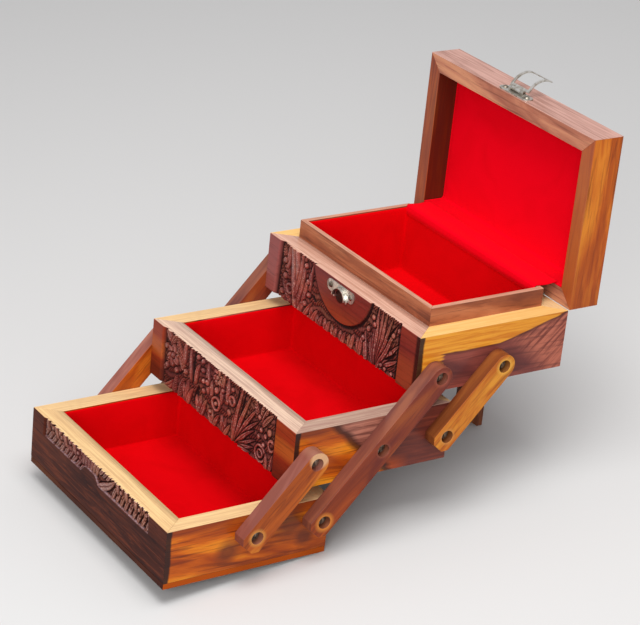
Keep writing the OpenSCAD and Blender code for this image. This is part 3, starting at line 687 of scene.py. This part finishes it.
# %% Node helpers
class Nodes:
    """Adds nodes to one tree. Values are numbers, colours or outputs of other nodes."""

    def __init__(self, tree):
        self.tree = tree

    def wire(self, socket, value):
        """Wires an output to a socket, or writes a number or a colour into it."""
        if isinstance(value, bpy.types.NodeSocket):
            self.tree.links.new(value, socket)
        else:
            socket.default_value = value

    def add(self, kind, inputs=(), **settings):
        """One node with its settings and its inputs."""
        made = self.tree.nodes.new(kind)
        for key, value in settings.items():
            setattr(made, key, value)
        for key, value in dict(inputs).items():
            self.wire(made.inputs[key], value)
        return made

    def blend(self, share, a, b):
        """Colour a where share is 0, colour b where it is 1."""
        a, b = (tone if isinstance(tone, bpy.types.NodeSocket) else (*tone, 1) for tone in (a, b))
        return self.add("ShaderNodeMix", {0: share, 6: a, 7: b}, data_type="RGBA").outputs[2]

    def calc(self, operation, a, b=0.0):
        """One step of arithmetic."""
        return self.add("ShaderNodeMath", {0: a, 1: b}, operation=operation).outputs[0]

    def times(self, *values):
        """The product of several numbers."""
        product = values[0]
        for value in values[1:]:
            product = self.calc("MULTIPLY", product, value)
        return product

    def between(self, value, low, high, at_low=0.0, at_high=1.0):
        """at_low below low, at_high above high, straight in between; low may lie above high."""
        return self.add("ShaderNodeMapRange", {0: value, 1: low, 2: high, 3: at_low, 4: at_high}).outputs[0]

    def looked_at(self):
        """1 for rays from the camera, a reflection or a glass; 0 for light on the object."""
        ray = self.add("ShaderNodeLightPath").outputs
        direct = self.calc("MAXIMUM", ray["Is Camera Ray"], ray["Is Glossy Ray"])
        return self.calc("MAXIMUM", direct, ray["Is Transmission Ray"])


# %% A material under way
class Paint(Nodes):
    """A material under way: its place, in metres from a tray's front lower edge, and colour so far."""

    def __init__(self, name, tray=None, turn=0.0):
        self.material = bpy.data.materials.new(name)
        self.material.use_nodes = True
        super().__init__(self.material.node_tree)
        self.shader = self.tree.nodes["Principled BSDF"]
        if tray:
            self.place = self.mapped(
                self.coordinates("Object"), Rotation=(LEAN, 0, 0), Location=tuple(-ORIGIN[tray]))
            if turn:
                self.place = self.mapped(self.place, Rotation=(turn, 0, 0))
            self.x, self.y, self.z = self.split(self.place)

    def coordinates(self, kind):
        """Where a point is (Object) or which way its surface faces (Normal)."""
        return self.add("ShaderNodeTexCoord").outputs[kind]

    def mapped(self, place, **how):
        """A place after Scale, Rotation or Location."""
        return self.add("ShaderNodeMapping", {"Vector": place, **how}).outputs[0]

    def split(self, place):
        """X, Y and Z of a place."""
        return self.add("ShaderNodeSeparateXYZ", {"Vector": place}).outputs

    def level_place(self):
        """Level X, Y and Z in metres of the whole box."""
        return self.split(self.mapped(self.coordinates("Object"), Rotation=(LEAN, 0, 0)))

    def sideways(self):
        """1 on a surface that faces left or right, 0 on one that faces along the side."""
        return self.calc("ABSOLUTE", self.split(self.coordinates("Normal"))[0])

    def noise(self, scale, detail, rough, distort=0.0, place=None):
        """Noise with its own scale along X, Y and Z, in waves per metre."""
        return self.add("ShaderNodeTexNoise", {
            "Vector": self.mapped(self.place if place is None else place, Scale=scale),
            "Scale": 1.0, "Detail": detail, "Roughness": rough, "Distortion": distort,
        }).outputs["Fac"]

    def zone(self, value, low, high, start=0.0):
        """A mask that grows from 0 to 1 between two distances in mm from a start in metres."""
        return self.between(value, start + low * MM, start + high * MM)

    def ragged(self, value, noise, amount):
        """A value shifted by noise, up to half the amount in mm either way."""
        return self.calc("ADD", value, self.times(self.calc("SUBTRACT", noise, 0.5), amount * MM))

    def away(self, a, b, centre_a, centre_b):
        """Distance of a place (a, b) from a centre in metres: the root of da^2 + db^2."""
        da = self.calc("SUBTRACT", a, float(centre_a))
        db = self.calc("SUBTRACT", b, float(centre_b))
        return self.calc("SQRT", self.calc("ADD", self.times(da, da), self.times(db, db)))

    def tint(self, tone, *shares):
        """Lays a tone over the colour so far, as strong as the product of the shares."""
        self.colour = self.blend(self.times(*shares), self.colour, tone)

    def bump(self, height, strength, depth):
        """Small roughness from a noise; depth is in mm."""
        return self.add(
            "ShaderNodeBump", {"Height": height, "Strength": strength, "Distance": depth * MM}).outputs[0]

    def finished(self, **values):
        """The material, once its shader has the colour and these values; _ stands for a space."""
        for key, value in {"Base_Color": self.colour, **values}.items():
            self.wire(self.shader.inputs[key.replace("_", " ")], value)
        return self.material


# %% [markdown]
# Wood has a figure at three scales: broad bands of colour along the board,
# fine dark growth lines, and tiny pores. All three are noise that is stretched
# along the grain. The pattern uses the piece's own level coordinates, so it
# runs along each board and moves with it. Where a board has a pale rim or a
# dark stained corner, a mask made from the same coordinates paints it.

# %% Wood
STAIN = (0.020, 0.007, 0.006)


def grain_scale(grain, along_grain, across):
    """Scales for a grain that runs along X, Y or Z."""
    return tuple(along_grain if axis == grain else across for axis in "XYZ")


def rim_colour(p, grain, pale, worn):
    """Bare wood of a top edge: fine pale and darker streaks, and grey handled patches."""
    streak = p.noise(grain_scale(grain, 22, 700), 4, 0.6, 0.4)
    handled = p.noise((34, 34, 34), 3, 0.6, 0.6)
    colour = p.blend(p.between(streak, 0.36, 0.64), worn, pale)
    return p.blend(p.times(p.between(handled, 0.50, 0.72), 0.6), colour, worn)


def wood(name, tray, grain, tones, line, lines=0.6, rim=None, stain=False,
         turn=0.0, rough_from=0.30, gloss=0.2, coat=0.06, extra=None):
    """Varnished wood: tones are its dark, middle and light bands, line its growth lines."""
    p = Paint(name, tray, turn)
    p.bands = p.noise(grain_scale(grain, 9, 55), 4, 0.55, 1.0)
    p.figure = p.noise(grain_scale(grain, 16, 300), 5, 0.6, 0.9)
    pores = p.noise(grain_scale(grain, 90, 1500), 2, 0.5)
    dark, middle, light = tones
    p.colour = p.blend(p.between(p.bands, 0.36, 0.52), dark, middle)
    p.tint(light, p.between(p.bands, 0.50, 0.66))
    p.tint(line, p.between(p.figure, 0.50, 0.66), lines)
    p.tint(line, p.between(pores, 0.60, 0.78), 0.3)
    if extra:
        extra(p)
    if stain:
        p.tint(STAIN, p.zone(p.ragged(p.y, p.bands, 4), 4.6, 3.4), 0.95)
    rough = p.between(p.figure, 0.2, 0.8, rough_from, rough_from + 0.14)
    if rim:
        height, pale, worn = rim
        mask = p.zone(p.z, -0.45, -0.2, height)
        p.tint(rim_colour(p, grain, pale, worn), mask)
        rough = p.calc("ADD", rough, p.times(mask, 0.25))
    bumps = p.calc("ADD", p.times(p.figure, 0.6), p.times(pores, 0.4))
    return p.finished(
        Roughness=rough, Specular_IOR_Level=gloss, Coat_Weight=coat, Coat_Roughness=0.14,
        Normal=p.bump(bumps, 0.25, 0.4))


def dress(name, material):
    """Gives a solid or a new piece its one material."""
    piece = frame["nodes"].get(name) or bpy.data.objects[name]
    piece.data.materials.clear()
    piece.data.materials.append(material)
    print(name, "is dressed in", material.name)


# %% [markdown]
# Every board here is from another plank. The bottom tray is a glowing orange with painted shade beside the arms,
# the middle one turns to a pinkish brown behind a curved dark line, and the top one is yellow sapwood over dark
# heartwood with a ragged border. A wood has three tones, dark, middle and light, and a bare rim has two, pale and
# worn.

# %% Tones of the wood
PALE = (0.86, 0.58, 0.28), (0.66, 0.41, 0.20)
PALE_PINK = (0.78, 0.55, 0.40), (0.52, 0.33, 0.25)
GREY_PINK = (0.52, 0.35, 0.26), (0.36, 0.20, 0.155)
PINK = (0.72, 0.43, 0.32), (0.52, 0.27, 0.19)
YELLOW = (0.90, 0.56, 0.21), (0.78, 0.44, 0.13)
ORANGE = (0.34, 0.050, 0.004), (0.62, 0.125, 0.006), (0.86, 0.30, 0.016)
RUST = (0.15, 0.020, 0.006), (0.36, 0.060, 0.008), (0.62, 0.15, 0.016)
CHESTNUT = (0.32, 0.060, 0.008), (0.46, 0.095, 0.010), (0.68, 0.22, 0.02)
HONEY = (0.38, 0.080, 0.008), (0.54, 0.14, 0.012), (0.76, 0.31, 0.03)
BROWN = (0.12, 0.035, 0.020), (0.25, 0.075, 0.030), (0.38, 0.13, 0.05)
DIM = (0.05, 0.015, 0.010), (0.09, 0.026, 0.014), (0.14, 0.045, 0.02)
LIP = (0.20, 0.052, 0.026), (0.36, 0.105, 0.046), (0.52, 0.185, 0.085)
LID_LONG = (0.34, 0.11, 0.065), (0.50, 0.19, 0.11), (0.66, 0.30, 0.16)
LID_TALL = (0.34, 0.052, 0.005), (0.56, 0.115, 0.008), (0.76, 0.24, 0.02)
LINE = (0.10, 0.013, 0.005)
DARK_LINE = (0.05, 0.012, 0.009)
LONG_LINE = (0.12, 0.030, 0.020)
HONEY_LINE = (0.20, 0.040, 0.008)


# %% Figures of the side boards
def streaks_and_arm_shade(p):
    """The bottom side: smoky streaks under the rim and at the base, and painted shade beside the arms."""
    p.tint((0.16, 0.022, 0.006), p.zone(p.ragged(p.z, p.bands, 14), 8, 4), 0.55)
    p.tint((0.20, 0.028, 0.008), p.zone(p.ragged(p.z, p.figure, 14), 36, 42), 0.65)
    # Painted shade: soft dark patches on the side beside the arms' feet and between them.
    for y, z, radius in ((50, 19, 12), (100, 30, 17), (112, 17, 9)):
        arm_shade_spot = p.ragged(p.away(p.y, p.z, y * MM, z * MM), p.bands, 9)
        p.tint((0.10, 0.020, 0.010), p.zone(arm_shade_spot, radius, radius * 0.35), 0.75)


def heart_edge(p):
    """The middle side: orange, then a bowed dark line, then a pinkish brown."""
    edge = p.ragged(p.calc("ADD", p.y, p.times(p.z, 1.15)), p.bands, 16)
    behind = p.zone(edge, 82, 85)
    brown = p.blend(p.between(p.bands, 0.40, 0.60), (0.15, 0.030, 0.020), (0.30, 0.062, 0.034))
    brown = p.blend(p.times(p.zone(p.z, 20, 34), p.zone(p.y, 92, 66)), brown, (0.50, 0.19, 0.13))
    brown = p.blend(p.times(p.between(p.figure, 0.42, 0.60), 0.75), brown, (0.10, 0.022, 0.018))
    p.tint(brown, behind)
    p.tint((0.55, 0.085, 0.010), behind, p.zone(p.z, 12, 5), p.zone(p.y, 100, 80), 0.75)
    p.tint((0.12, 0.022, 0.012), p.zone(p.z, 34, 43), p.zone(edge, 96, 66), 0.7)
    p.tint((0.035, 0.010, 0.008), p.zone(edge, 76, 81), p.zone(edge, 89, 84), 0.85)


def sapwood(p):
    """The top side: yellow in front and above, purple brown below a ragged border."""
    rise = p.times(p.calc("MAXIMUM", p.calc("SUBTRACT", p.y, 72 * MM), 0.0), 0.24)
    height = p.calc("SUBTRACT", p.ragged(p.z, p.bands, 9), p.calc("ADD", rise, 29.5 * MM))
    heart = p.times(p.zone(height, 0.4, -0.4), p.zone(p.ragged(p.y, p.figure, 12), 20, 23))
    streaks = p.noise((200, 28, 320), 4, 0.6, 0.6, p.mapped(p.place, Rotation=(-0.75, 0, 0)))
    rear = p.blend(p.between(streaks, 0.42, 0.60), (0.50, 0.145, 0.090), (0.19, 0.040, 0.028))
    dark = p.blend(p.between(p.bands, 0.38, 0.62), (0.13, 0.030, 0.028), (0.30, 0.070, 0.050))
    dark = p.blend(p.zone(p.calc("ADD", p.y, p.z), 108, 128), dark, rear)
    dark = p.blend(p.times(p.between(p.figure, 0.50, 0.62), 0.5), dark, (0.08, 0.020, 0.020))
    dark = p.blend(p.times(p.zone(height, -2.2, -0.6), 0.7), dark, (0.07, 0.016, 0.010))
    p.colour = p.blend(p.between(p.figure, 0.42, 0.60), (0.86, 0.36, 0.034), (0.66, 0.205, 0.014))
    p.tint((0.62, 0.16, 0.014), p.zone(p.z, 22, 4), 0.7)
    p.tint(dark, heart)


# %% [markdown]
# The sides keep a pale rim along their upper edge, each in a tone of its own,
# and a dark stain at the corner where they meet the carved front. The boards at
# the back and below are plainer. The ends of a base show beside the side
# boards, so they take the tone of those.

# %% Boards of the trays
def like_the_sides(tone):
    """Makes a base's finish: its ends take the tone of the side boards above them."""
    def finish(p):
        p.tint(tone, p.between(p.sideways(), 0.5, 0.8))
    return finish


rims = {
    "bottom_left": PALE, "bottom_right": PALE, "middle_left": PALE, "middle_right": GREY_PINK,
    "top_left": YELLOW, "top_right": YELLOW,
}
for board, rim in rims.items():
    tray = board.split("_")[0]
    extra = {"bottom": streaks_and_arm_shade, "middle": heart_edge, "top": sapwood}[tray]
    dress(board, wood(
        board + "_wood", tray, "Y", ORANGE, LINE, 0.75, rim=(TRAY_H, *rim), stain=True, extra=extra))
end_tones = {"bottom": (0.42, 0.075, 0.008), "middle": (0.22, 0.045, 0.022), "top": (0.22, 0.05, 0.036)}
for tray, tone in end_tones.items():
    dress(tray + "_back", wood(tray + "_back_wood", tray, "X", BROWN, DARK_LINE, rim=(TRAY_H, *PALE)))
    dress(tray + "_base", wood(
        tray + "_base_wood", tray, "X", DIM, DARK_LINE, 0.5, rough_from=0.5, gloss=0.05, coat=0.0,
        extra=like_the_sides(tone)))

# %% [markdown]
# The lip is a second, lower frame inside the top box, of a duller red brown.
# Its rim is bare too, and more pink than the others.

# %% Boards of the lip
lip_rim = (level_box("lip_front")[1][2] - ORIGIN["top"][2], (0.66, 0.34, 0.22), (0.44, 0.20, 0.13))
for grain, ends_of in (("X", ("front", "back")), ("Y", ("left", "right"))):
    lip_wood = wood(f"lip_wood_{grain}", "top", grain, LIP, DARK_LINE, 0.55, rim=lip_rim, rough_from=0.38)
    for end in ends_of:
        dress("lip_" + end, lip_wood)

# %% [markdown]
# The lid's frame shows wood inside and out. Its inner walls are painted almost black as painted shade, and its
# long board has a painted grey reflection on the outer edge. Masks from the lid's own sizes paint both.

# %% Boards of the lid
lid_low = level_box("lid_right")[0]
panel_low, panel_high = level_box("lid_panel")


def inner_shade(p, x, y, z):
    """Painted shade on the walls inside the frame."""
    off_side = p.zone(p.calc("ABSOLUTE", x), 0.6, 0.2, panel_high[0])
    off_top, off_low = p.zone(z, 0.6, 0.2, panel_high[2]), p.zone(z, -0.6, -0.2, panel_low[2])
    # Painted shade: the inner walls of the frame are darkened almost to black.
    p.tint((0.07, 0.010, 0.006), off_side, off_top, off_low, p.zone(y, 0.1, 0.5, lid_low[1]), 0.9)


def lid_edge(p):
    """Painted grey reflection on the lid's outer long edge, painted shade inside."""
    x, y, z = p.level_place()
    grey_reflection = p.blend(p.between(p.figure, 0.4, 0.62), (0.56, 0.30, 0.24), (0.34, 0.16, 0.12))
    # Painted reflection: a greyish tone on the top face of the long board.
    p.tint(grey_reflection, p.zone(z, -0.5, -0.1, level_box("lid_front")[1][2]))
    inner_shade(p, x, y, z)


def lid_side_edge(p):
    """The upright boards of the frame: browner on the face that meets the box."""
    x, y, z = p.level_place()
    p.tint((0.33, 0.084, 0.036), p.zone(y, 0.6, 0.2, lid_low[1]), 0.75)
    p.tint((0.17, 0.040, 0.024), p.zone(x, 0, -80), p.between(p.figure, 0.34, 0.56), 0.7)
    p.tint((0.34, 0.060, 0.012), p.zone(z, 70, 10, lid_low[2]), 0.5)
    inner_shade(p, x, y, z)


lid_long = wood("lid_long_wood", "top", "X", LID_LONG, LONG_LINE, 0.6, extra=lid_edge)
lid_tall = wood("lid_tall_wood", "top", "Z", LID_TALL, LINE, 0.6, extra=lid_side_edge)
for end, material in (("front", lid_long), ("back", lid_long), ("left", lid_tall), ("right", lid_tall)):
    dress("lid_" + end, material)
dress("lid_panel", wood("lid_panel_wood", "top", "X", BROWN, DARK_LINE))
dress("prop_leg", wood("leg_wood", "top", "Z", BROWN, DARK_LINE))

# %% [markdown]
# The arms are cut along the grain. Their narrow edges are painted purple grey, a painted reflection of the pale
# sky, and their broad faces shine. The surface's own direction tells the two apart: an edge doesn't face sideways.
# Round each screw the face is painted a paler tone, both wear and painted highlight, and the long arms get darker
# towards the upper end.

# %% Arms
pivots = {name: level(joint["pos_m"]) for name, joint in joints.items()}
LONG_FOOT, FRONT_FOOT, REAR_FOOT = (
    pivots[name][1:] for name in ("fold", "front_arm_right_pivot", "rear_arm_right_pivot"))
STEP = pivots["middle_tray_pivot"][1:] - LONG_FOOT
# The front arm's pale spot, wear and painted highlight, sits this much above its upper screw.
HEAD_SHIFT = np.array([2, 5]) * MM  # the front arm is rubbed a little above its upper screw
run, climb = pivots["top_box_pivot"][1:] - LONG_FOOT
ARM_ANGLE = math.atan2(climb, run)
print("arms stand at %.1f degrees" % math.degrees(ARM_ANGLE))


def arm_wear_and_sheen(sheen_edge_light, sheen_edge_dark, wear_and_glint_rings, dusk=None):
    """Makes an arm's finish, with a painted reflection on the edges in two sheen tones. Rings are (Y and Z of a
    screw, radius in mm, tone), wear and painted highlight; dusk is (tone, height where it starts, height where it
    is full) for a darker upper end."""
    def finish(p):
        x, y, z = p.level_place()
        if dusk:
            tone, low, high = dusk
            p.tint(tone, p.zone(z, low, high), 0.65)
        # Pale rings round the screws: wear, and a painted highlight of the holes' edges.
        for hole, radius, tone in wear_and_glint_rings:
            near = p.ragged(p.away(y, z, *hole), p.bands, 3)
            p.tint(tone, p.zone(near, radius, radius - 3.2), 0.75)
        # Painted reflection: the narrow edges take a purple grey sheen tone.
        tone = p.blend(p.between(p.bands, 0.38, 0.60), sheen_edge_dark, sheen_edge_light)
        p.tint(tone, p.between(p.sideways(), 0.75, 0.40), 0.85)
    return finish


long_finish = arm_wear_and_sheen(
    (0.27, 0.090, 0.052), (0.15, 0.045, 0.034),
    [(LONG_FOOT, 8.4, (0.70, 0.24, 0.035)), (LONG_FOOT + STEP, 6.4, (0.32, 0.095, 0.052)),
     (LONG_FOOT + 2 * STEP, 7.4, (0.36, 0.085, 0.05))],
    dusk=((0.14, 0.025, 0.021), 25, 80))
front_finish = arm_wear_and_sheen(
    (0.34, 0.130, 0.108), (0.21, 0.064, 0.050),
    [(FRONT_FOOT, 7.6, (0.70, 0.32, 0.07)), (FRONT_FOOT + STEP + HEAD_SHIFT, 9.5, (0.82, 0.50, 0.27))])
rear_finish = arm_wear_and_sheen(
    (0.22, 0.062, 0.020), (0.11, 0.028, 0.012),
    [(REAR_FOOT, 7.2, (0.66, 0.30, 0.08)), (REAR_FOOT + STEP, 8.0, (0.84, 0.44, 0.07))])
for kind, tray, tones, line, finish in (
    ("long", "bottom", RUST, LINE, long_finish), ("front", "middle", CHESTNUT, LINE, front_finish),
    ("rear", "top", HONEY, HONEY_LINE, rear_finish),
):
    arm_wood = wood(kind + "_arm_wood", tray, "Y", tones, line, 0.6, turn=-ARM_ANGLE, extra=finish)
    for side in ("left", "right"):
        dress(f"{kind}_arm_{side}", arm_wood)

# %% [markdown]
# The carved fronts are stained dark, and painted darker the deeper they are cut, near black in the deepest cuts:
# stain and painted shade. Handling has worn the crests back to a lighter red, in uneven patches, with pale spots
# on the highest tops that are both wear and painted highlight, and waxed tops shine. The mesh stores how deep each
# point is cut, and the material reads that number. The plain parts of each board differ, so each board brings its
# own small paint function.

# %% Carved fronts
def bottom_plain(p):
    """Almost black, browner to the left, with orange brown bands at the lower right."""
    p.tint((0.105, 0.024, 0.013), p.zone(p.x, -20, -95), 0.6)
    flat = p.add("ShaderNodeCombineXYZ", {0: p.x, 2: p.z}).outputs[0]
    streaks = p.noise((26, 26, 330), 5, 0.62, 1.2, flat)
    low = p.calc("ADD", p.times(p.zone(p.z, 36, 20), 0.45), 0.2)
    p.tint((0.20, 0.044, 0.018), p.between(streaks, 0.50, 0.62), low)
    p.tint((0.022, 0.006, 0.007), p.between(streaks, 0.42, 0.34), 0.7)


def middle_plain(p):
    """Red margins with an orange band across and a dark foot."""
    wave = p.ragged(p.z, p.bands, 10)
    p.tint((0.44, 0.10, 0.020), p.zone(wave, 17, 23), p.zone(wave, 36, 30), 0.9)
    p.tint((0.11, 0.018, 0.010), p.zone(wave, 18, 8), 0.85)


def top_plain(p):
    """A shield that is orange red below, with painted shade behind the catch's arch, and a greyish left margin
    that is a painted reflection.
    """
    p.tint((0.34, 0.065, 0.022), p.zone(p.ragged(p.z, p.bands, 8), 30, 18), 0.6)
    # Painted reflection: the left margin is tinted greyish pink.
    p.tint((0.32, 0.10, 0.095), p.zone(p.x, -80, -86), 0.75)
    # Painted shade: a near-black disc on the shield behind the catch's arch.
    p.tint((0.012, 0.005, 0.004), p.zone(p.away(p.x, p.z, -1.6 * MM, 34 * MM), 6.2, 4.8), 0.95)
    p.tint(STAIN, p.zone(p.x, 95, 97), 0.9)


def stain_front(tray, crests, plain, ground, paint, rim, gloss=0.12, lip=0.0):
    """Dark stained wood, lighter where it stands high and painted darker into the cuts as painted shade; lip is
    the strength of a painted highlight along the edge of the carving.
    Crests are dull, bright and worn-glint tones, the last both wear and painted highlight; plain the two tones of
    the margins."""
    p = Paint("carved_" + tray, tray)
    cut, carved = (
        p.add("ShaderNodeAttribute", attribute_name=key).outputs["Fac"] for key in ("cut", "carved"))
    p.bands = p.noise(grain_scale("X", 9, 60), 3, 0.5, 0.8)
    p.figure = p.noise(grain_scale("X", 20, 420), 5, 0.6, 0.8)
    worn = p.noise((170, 170, 170), 4, 0.65)
    fine = p.noise((900, 900, 1500), 3, 0.6)
    patches = p.noise((38, 38, 38), 2, 0.5, 0.6)
    p.colour = p.blend(p.between(p.bands, 0.34, 0.66), *plain)
    paint(p)
    p.tint(STAIN, p.between(p.figure, 0.50, 0.66), 0.35)
    dull, bright, worn_glint = crests
    relief = p.blend(p.between(worn, 0.38, 0.60), dull, bright)
    relief = p.blend(p.times(p.between(patches, 0.50, 0.62), 0.60), relief, (0.15, 0.020, 0.024))
    relief = p.blend(p.times(p.between(patches, 0.46, 0.36), 0.50), relief, (0.34, 0.125, 0.060))
    # Pale spots on the highest crests: wear, and painted highlight.
    top = p.times(p.between(fine, 0.54, 0.64), p.between(cut, 0.30, 0.10), 0.80)
    p.tint(p.blend(top, relief, worn_glint), carved)
    p.tint(ground, p.zone(p.x, -50, -80), carved, 0.35)
    # Painted shade: darker with the depth of the cut, and near black in the deepest cuts.
    p.tint(ground, p.between(cut, 0.14, 0.72), 0.96)
    p.tint((0.010, 0.004, 0.004), p.between(cut, 0.60, 0.85), 0.8)
    edge_glint_band = p.times(carved, p.calc("SUBTRACT", 1.0, carved))
    # Painted highlight: a pale purple grey band along the edge of the carved strip, as strong as lip.
    p.tint((0.34, 0.22, 0.24), edge_glint_band, p.between(worn, 0.40, 0.60), 4.0 * lip)
    p.tint(rim_colour(p, "X", *rim), p.zone(p.z, -0.3, -0.1, TRAY_H))
    waxed = p.times(carved, p.between(cut, 0.45, 0.10), 0.5)
    p.wire(p.shader.inputs["Specular IOR Level"], gloss)  # what an export keeps of it
    dress("carved_front_" + tray, p.finished(
        Roughness=p.between(cut, 0.0, 0.8, 0.26, 0.65), Specular_IOR_Level=p.calc("ADD", waxed, gloss),
        Normal=p.bump(p.figure, 0.3, 0.4)))


stain_front(
    "bottom", ((0.16, 0.042, 0.030), (0.36, 0.125, 0.085), (0.80, 0.54, 0.44)),
    ((0.038, 0.009, 0.007), (0.105, 0.025, 0.014)), (0.045, 0.013, 0.011), bottom_plain, PALE, 0.03, 0.9)
stain_front(
    "middle", ((0.19, 0.029, 0.020), (0.40, 0.082, 0.056), (0.80, 0.48, 0.40)),
    ((0.24, 0.026, 0.010), (0.32, 0.045, 0.014)), (0.055, 0.011, 0.009), middle_plain, PALE_PINK)
stain_front(
    "top", ((0.19, 0.030, 0.022), (0.40, 0.086, 0.060), (0.80, 0.48, 0.40)),
    ((0.16, 0.022, 0.020), (0.25, 0.034, 0.020)), (0.055, 0.011, 0.009), top_plain, PINK)

# %% [markdown]
# Velvet looks bright where the pile leans away and dark where it has been pressed. Here it is nearly even: a slow
# noise makes faint patches, a very fine one the pile itself, and a little sheen lights the edges of the folds. The
# piece in the lid and the hinge cloth get a brighter copy of the same velvet, as painted light.

# %% Velvet
def velvet_material(name, pressed, fresh):
    """Red cotton velvet in two close tones."""
    p = Paint(name)
    p.place = p.coordinates("Object")
    patches = p.noise((22, 28, 22), 3, 0.55, 1.0)
    pile = p.noise((1700, 1700, 1700), 2, 0.6)
    p.colour = p.blend(p.between(patches, 0.30, 0.56), pressed, fresh)
    p.tint(pressed, p.between(pile, 0.4, 0.7), 0.22)
    return p.finished(
        Roughness=1.0, Sheen_Weight=0.12, Sheen_Roughness=0.4, Sheen_Tint=(1.0, 0.08, 0.06, 1),
        Specular_IOR_Level=0.04, Normal=p.bump(pile, 0.4, 0.3))


tray_velvet = velvet_material("tray_velvet", (0.65, 0.0, 0.002), (0.72, 0.0, 0.003))
# Painted light: the lid's velvet and the hinge cloth are a brighter copy of the tray velvet.
lid_velvet_painted_lighter = velvet_material("lid_velvet_painted_lighter", (0.80, 0.0, 0.008), (0.86, 0.0, 0.010))
for piece in linings:
    on_lid = piece.name in ("velvet_lid", "velvet_hinge_cloth")
    dress(piece.name, lid_velvet_painted_lighter if on_lid else tray_velvet)

# %% [markdown]
# The hardware is plated steel that has gone dull: bright where it is rubbed, brownish in the hollows. The screws
# are darker, which partly paints in the shade deep in their holes.

# %% Metal
def metal_material(name, bright, dull, rough):
    """Worn plating: two colours and two roughnesses, mixed by noise."""
    p = Paint(name)
    p.place = p.coordinates("Object")
    patina = p.noise((260, 260, 260), 3, 0.55, 0.3)
    fine = p.noise((2600, 2600, 2600), 2, 0.5)
    p.colour = p.blend(p.between(patina, 0.40, 0.62), bright, dull)
    return p.finished(
        Metallic=1.0, Roughness=p.between(patina, 0.3, 0.7, rough, rough + 0.25),
        Normal=p.bump(fine, 0.2, 0.1))


nickel = metal_material("antique_nickel", (0.70, 0.67, 0.62), (0.38, 0.34, 0.28), 0.24)
# Partly painted shade: the screw steel is darker, standing in for the shade of the holes.
steel = metal_material("screw_steel", (0.34, 0.30, 0.24), (0.10, 0.075, 0.055), 0.34)
for name in frame["nodes"]:
    if "screws" in name or name in ("hinge_pins", "hasp_pin"):
        dress(name, steel)
    elif name in ("catch_plate", "hasp_plate", "hasp", "box_hinge_leaves", "lid_hinge_leaves"):
        dress(name, nickel)
print("materials", len(bpy.data.materials))

# %% [markdown]
# The stage is a plain pale floor under soft light. The key lamp stands high at
# the middle, so that the arms throw soft shadows downward, and a broad lamp at
# the right in front lights the side boards and the lid. The floor and the sky
# look pale to the camera but give back less light, or the dark fronts would
# look milky.

# %% Stage and light
REACH = 4.0
corner_points = [(-REACH, -REACH, 0), (REACH, -REACH, 0), (REACH, REACH, 0), (-REACH, REACH, 0)]
floor_mesh = bpy.data.meshes.new("floor")
floor_mesh.from_pydata(corner_points, [], [(0, 1, 2, 3)])
floor = bpy.data.objects.new("floor", floor_mesh)
bpy.context.scene.collection.objects.link(floor)
floor_paint = Paint("pale_floor")
floor_paint.colour = floor_paint.blend(floor_paint.looked_at(), (0.42, 0.40, 0.39), (0.66, 0.65, 0.64))
floor_mesh.materials.append(floor_paint.finished(Roughness=0.9, Specular_IOR_Level=0.1))

LIGHT_OF_SKY, LOOK_OF_SKY = 0.44, 0.70
world = bpy.data.worlds.new("studio")
world.use_nodes = True
sky = Nodes(world.node_tree)
background = sky.tree.nodes["Background"]
background.inputs["Color"].default_value = (0.96, 0.97, 1.0, 1)
extra_look = sky.times(sky.looked_at(), LOOK_OF_SKY - LIGHT_OF_SKY)
sky.wire(background.inputs["Strength"], sky.calc("ADD", extra_look, LIGHT_OF_SKY))
bpy.context.scene.world = world


def lamp(name, place, target, width, power):
    """A square soft lamp that looks at the target."""
    data = bpy.data.lights.new(name, "AREA")
    data.size = width
    data.energy = power
    made = bpy.data.objects.new(name, data)
    made.location = place
    made.rotation_euler = (Vector(target) - Vector(place)).to_track_quat("-Z", "Y").to_euler()
    bpy.context.scene.collection.objects.link(made)


lamp("key", (0.45, -0.15, 1.9), (0, 0, 0.1), 1.2, 29)
lamp("front_fill", (1.4, -1.3, 0.9), (0, 0, 0.15), 1.2, 21)

# %% [markdown]
# The camera stands where the photographer stood, found from the corners of the
# box in the photograph. The long lens keeps the perspective as flat as there.

# %% Camera
AZIMUTH, ELEVATION, ROLL = map(math.radians, (57.19, 27.56, 0.46))
DISTANCE = 1.7242
TARGET = Vector((-0.0002, -0.0001, 0.1303))
FOCAL_PIXELS = 2370.7
PHOTO_WIDTH = 640
SENSOR_WIDTH = 36
back = Vector((
    math.sin(AZIMUTH) * math.cos(ELEVATION), -math.cos(AZIMUTH) * math.cos(ELEVATION), math.sin(ELEVATION),
))
camera_data = bpy.data.cameras.new("camera")
camera_data.sensor_width = SENSOR_WIDTH
camera_data.lens = SENSOR_WIDTH * FOCAL_PIXELS / PHOTO_WIDTH
camera = bpy.data.objects.new("camera", camera_data)
look = (-back).to_track_quat("-Z", "Y").to_matrix().to_4x4()
camera.matrix_world = Matrix.Translation(TARGET + back * DISTANCE) @ look @ Matrix.Rotation(ROLL, 4, "Z")
bpy.context.scene.collection.objects.link(camera)
bpy.context.scene.camera = camera
bpy.context.scene.view_settings.view_transform = "Standard"
print("the lens is %.0f mm long" % camera_data.lens)
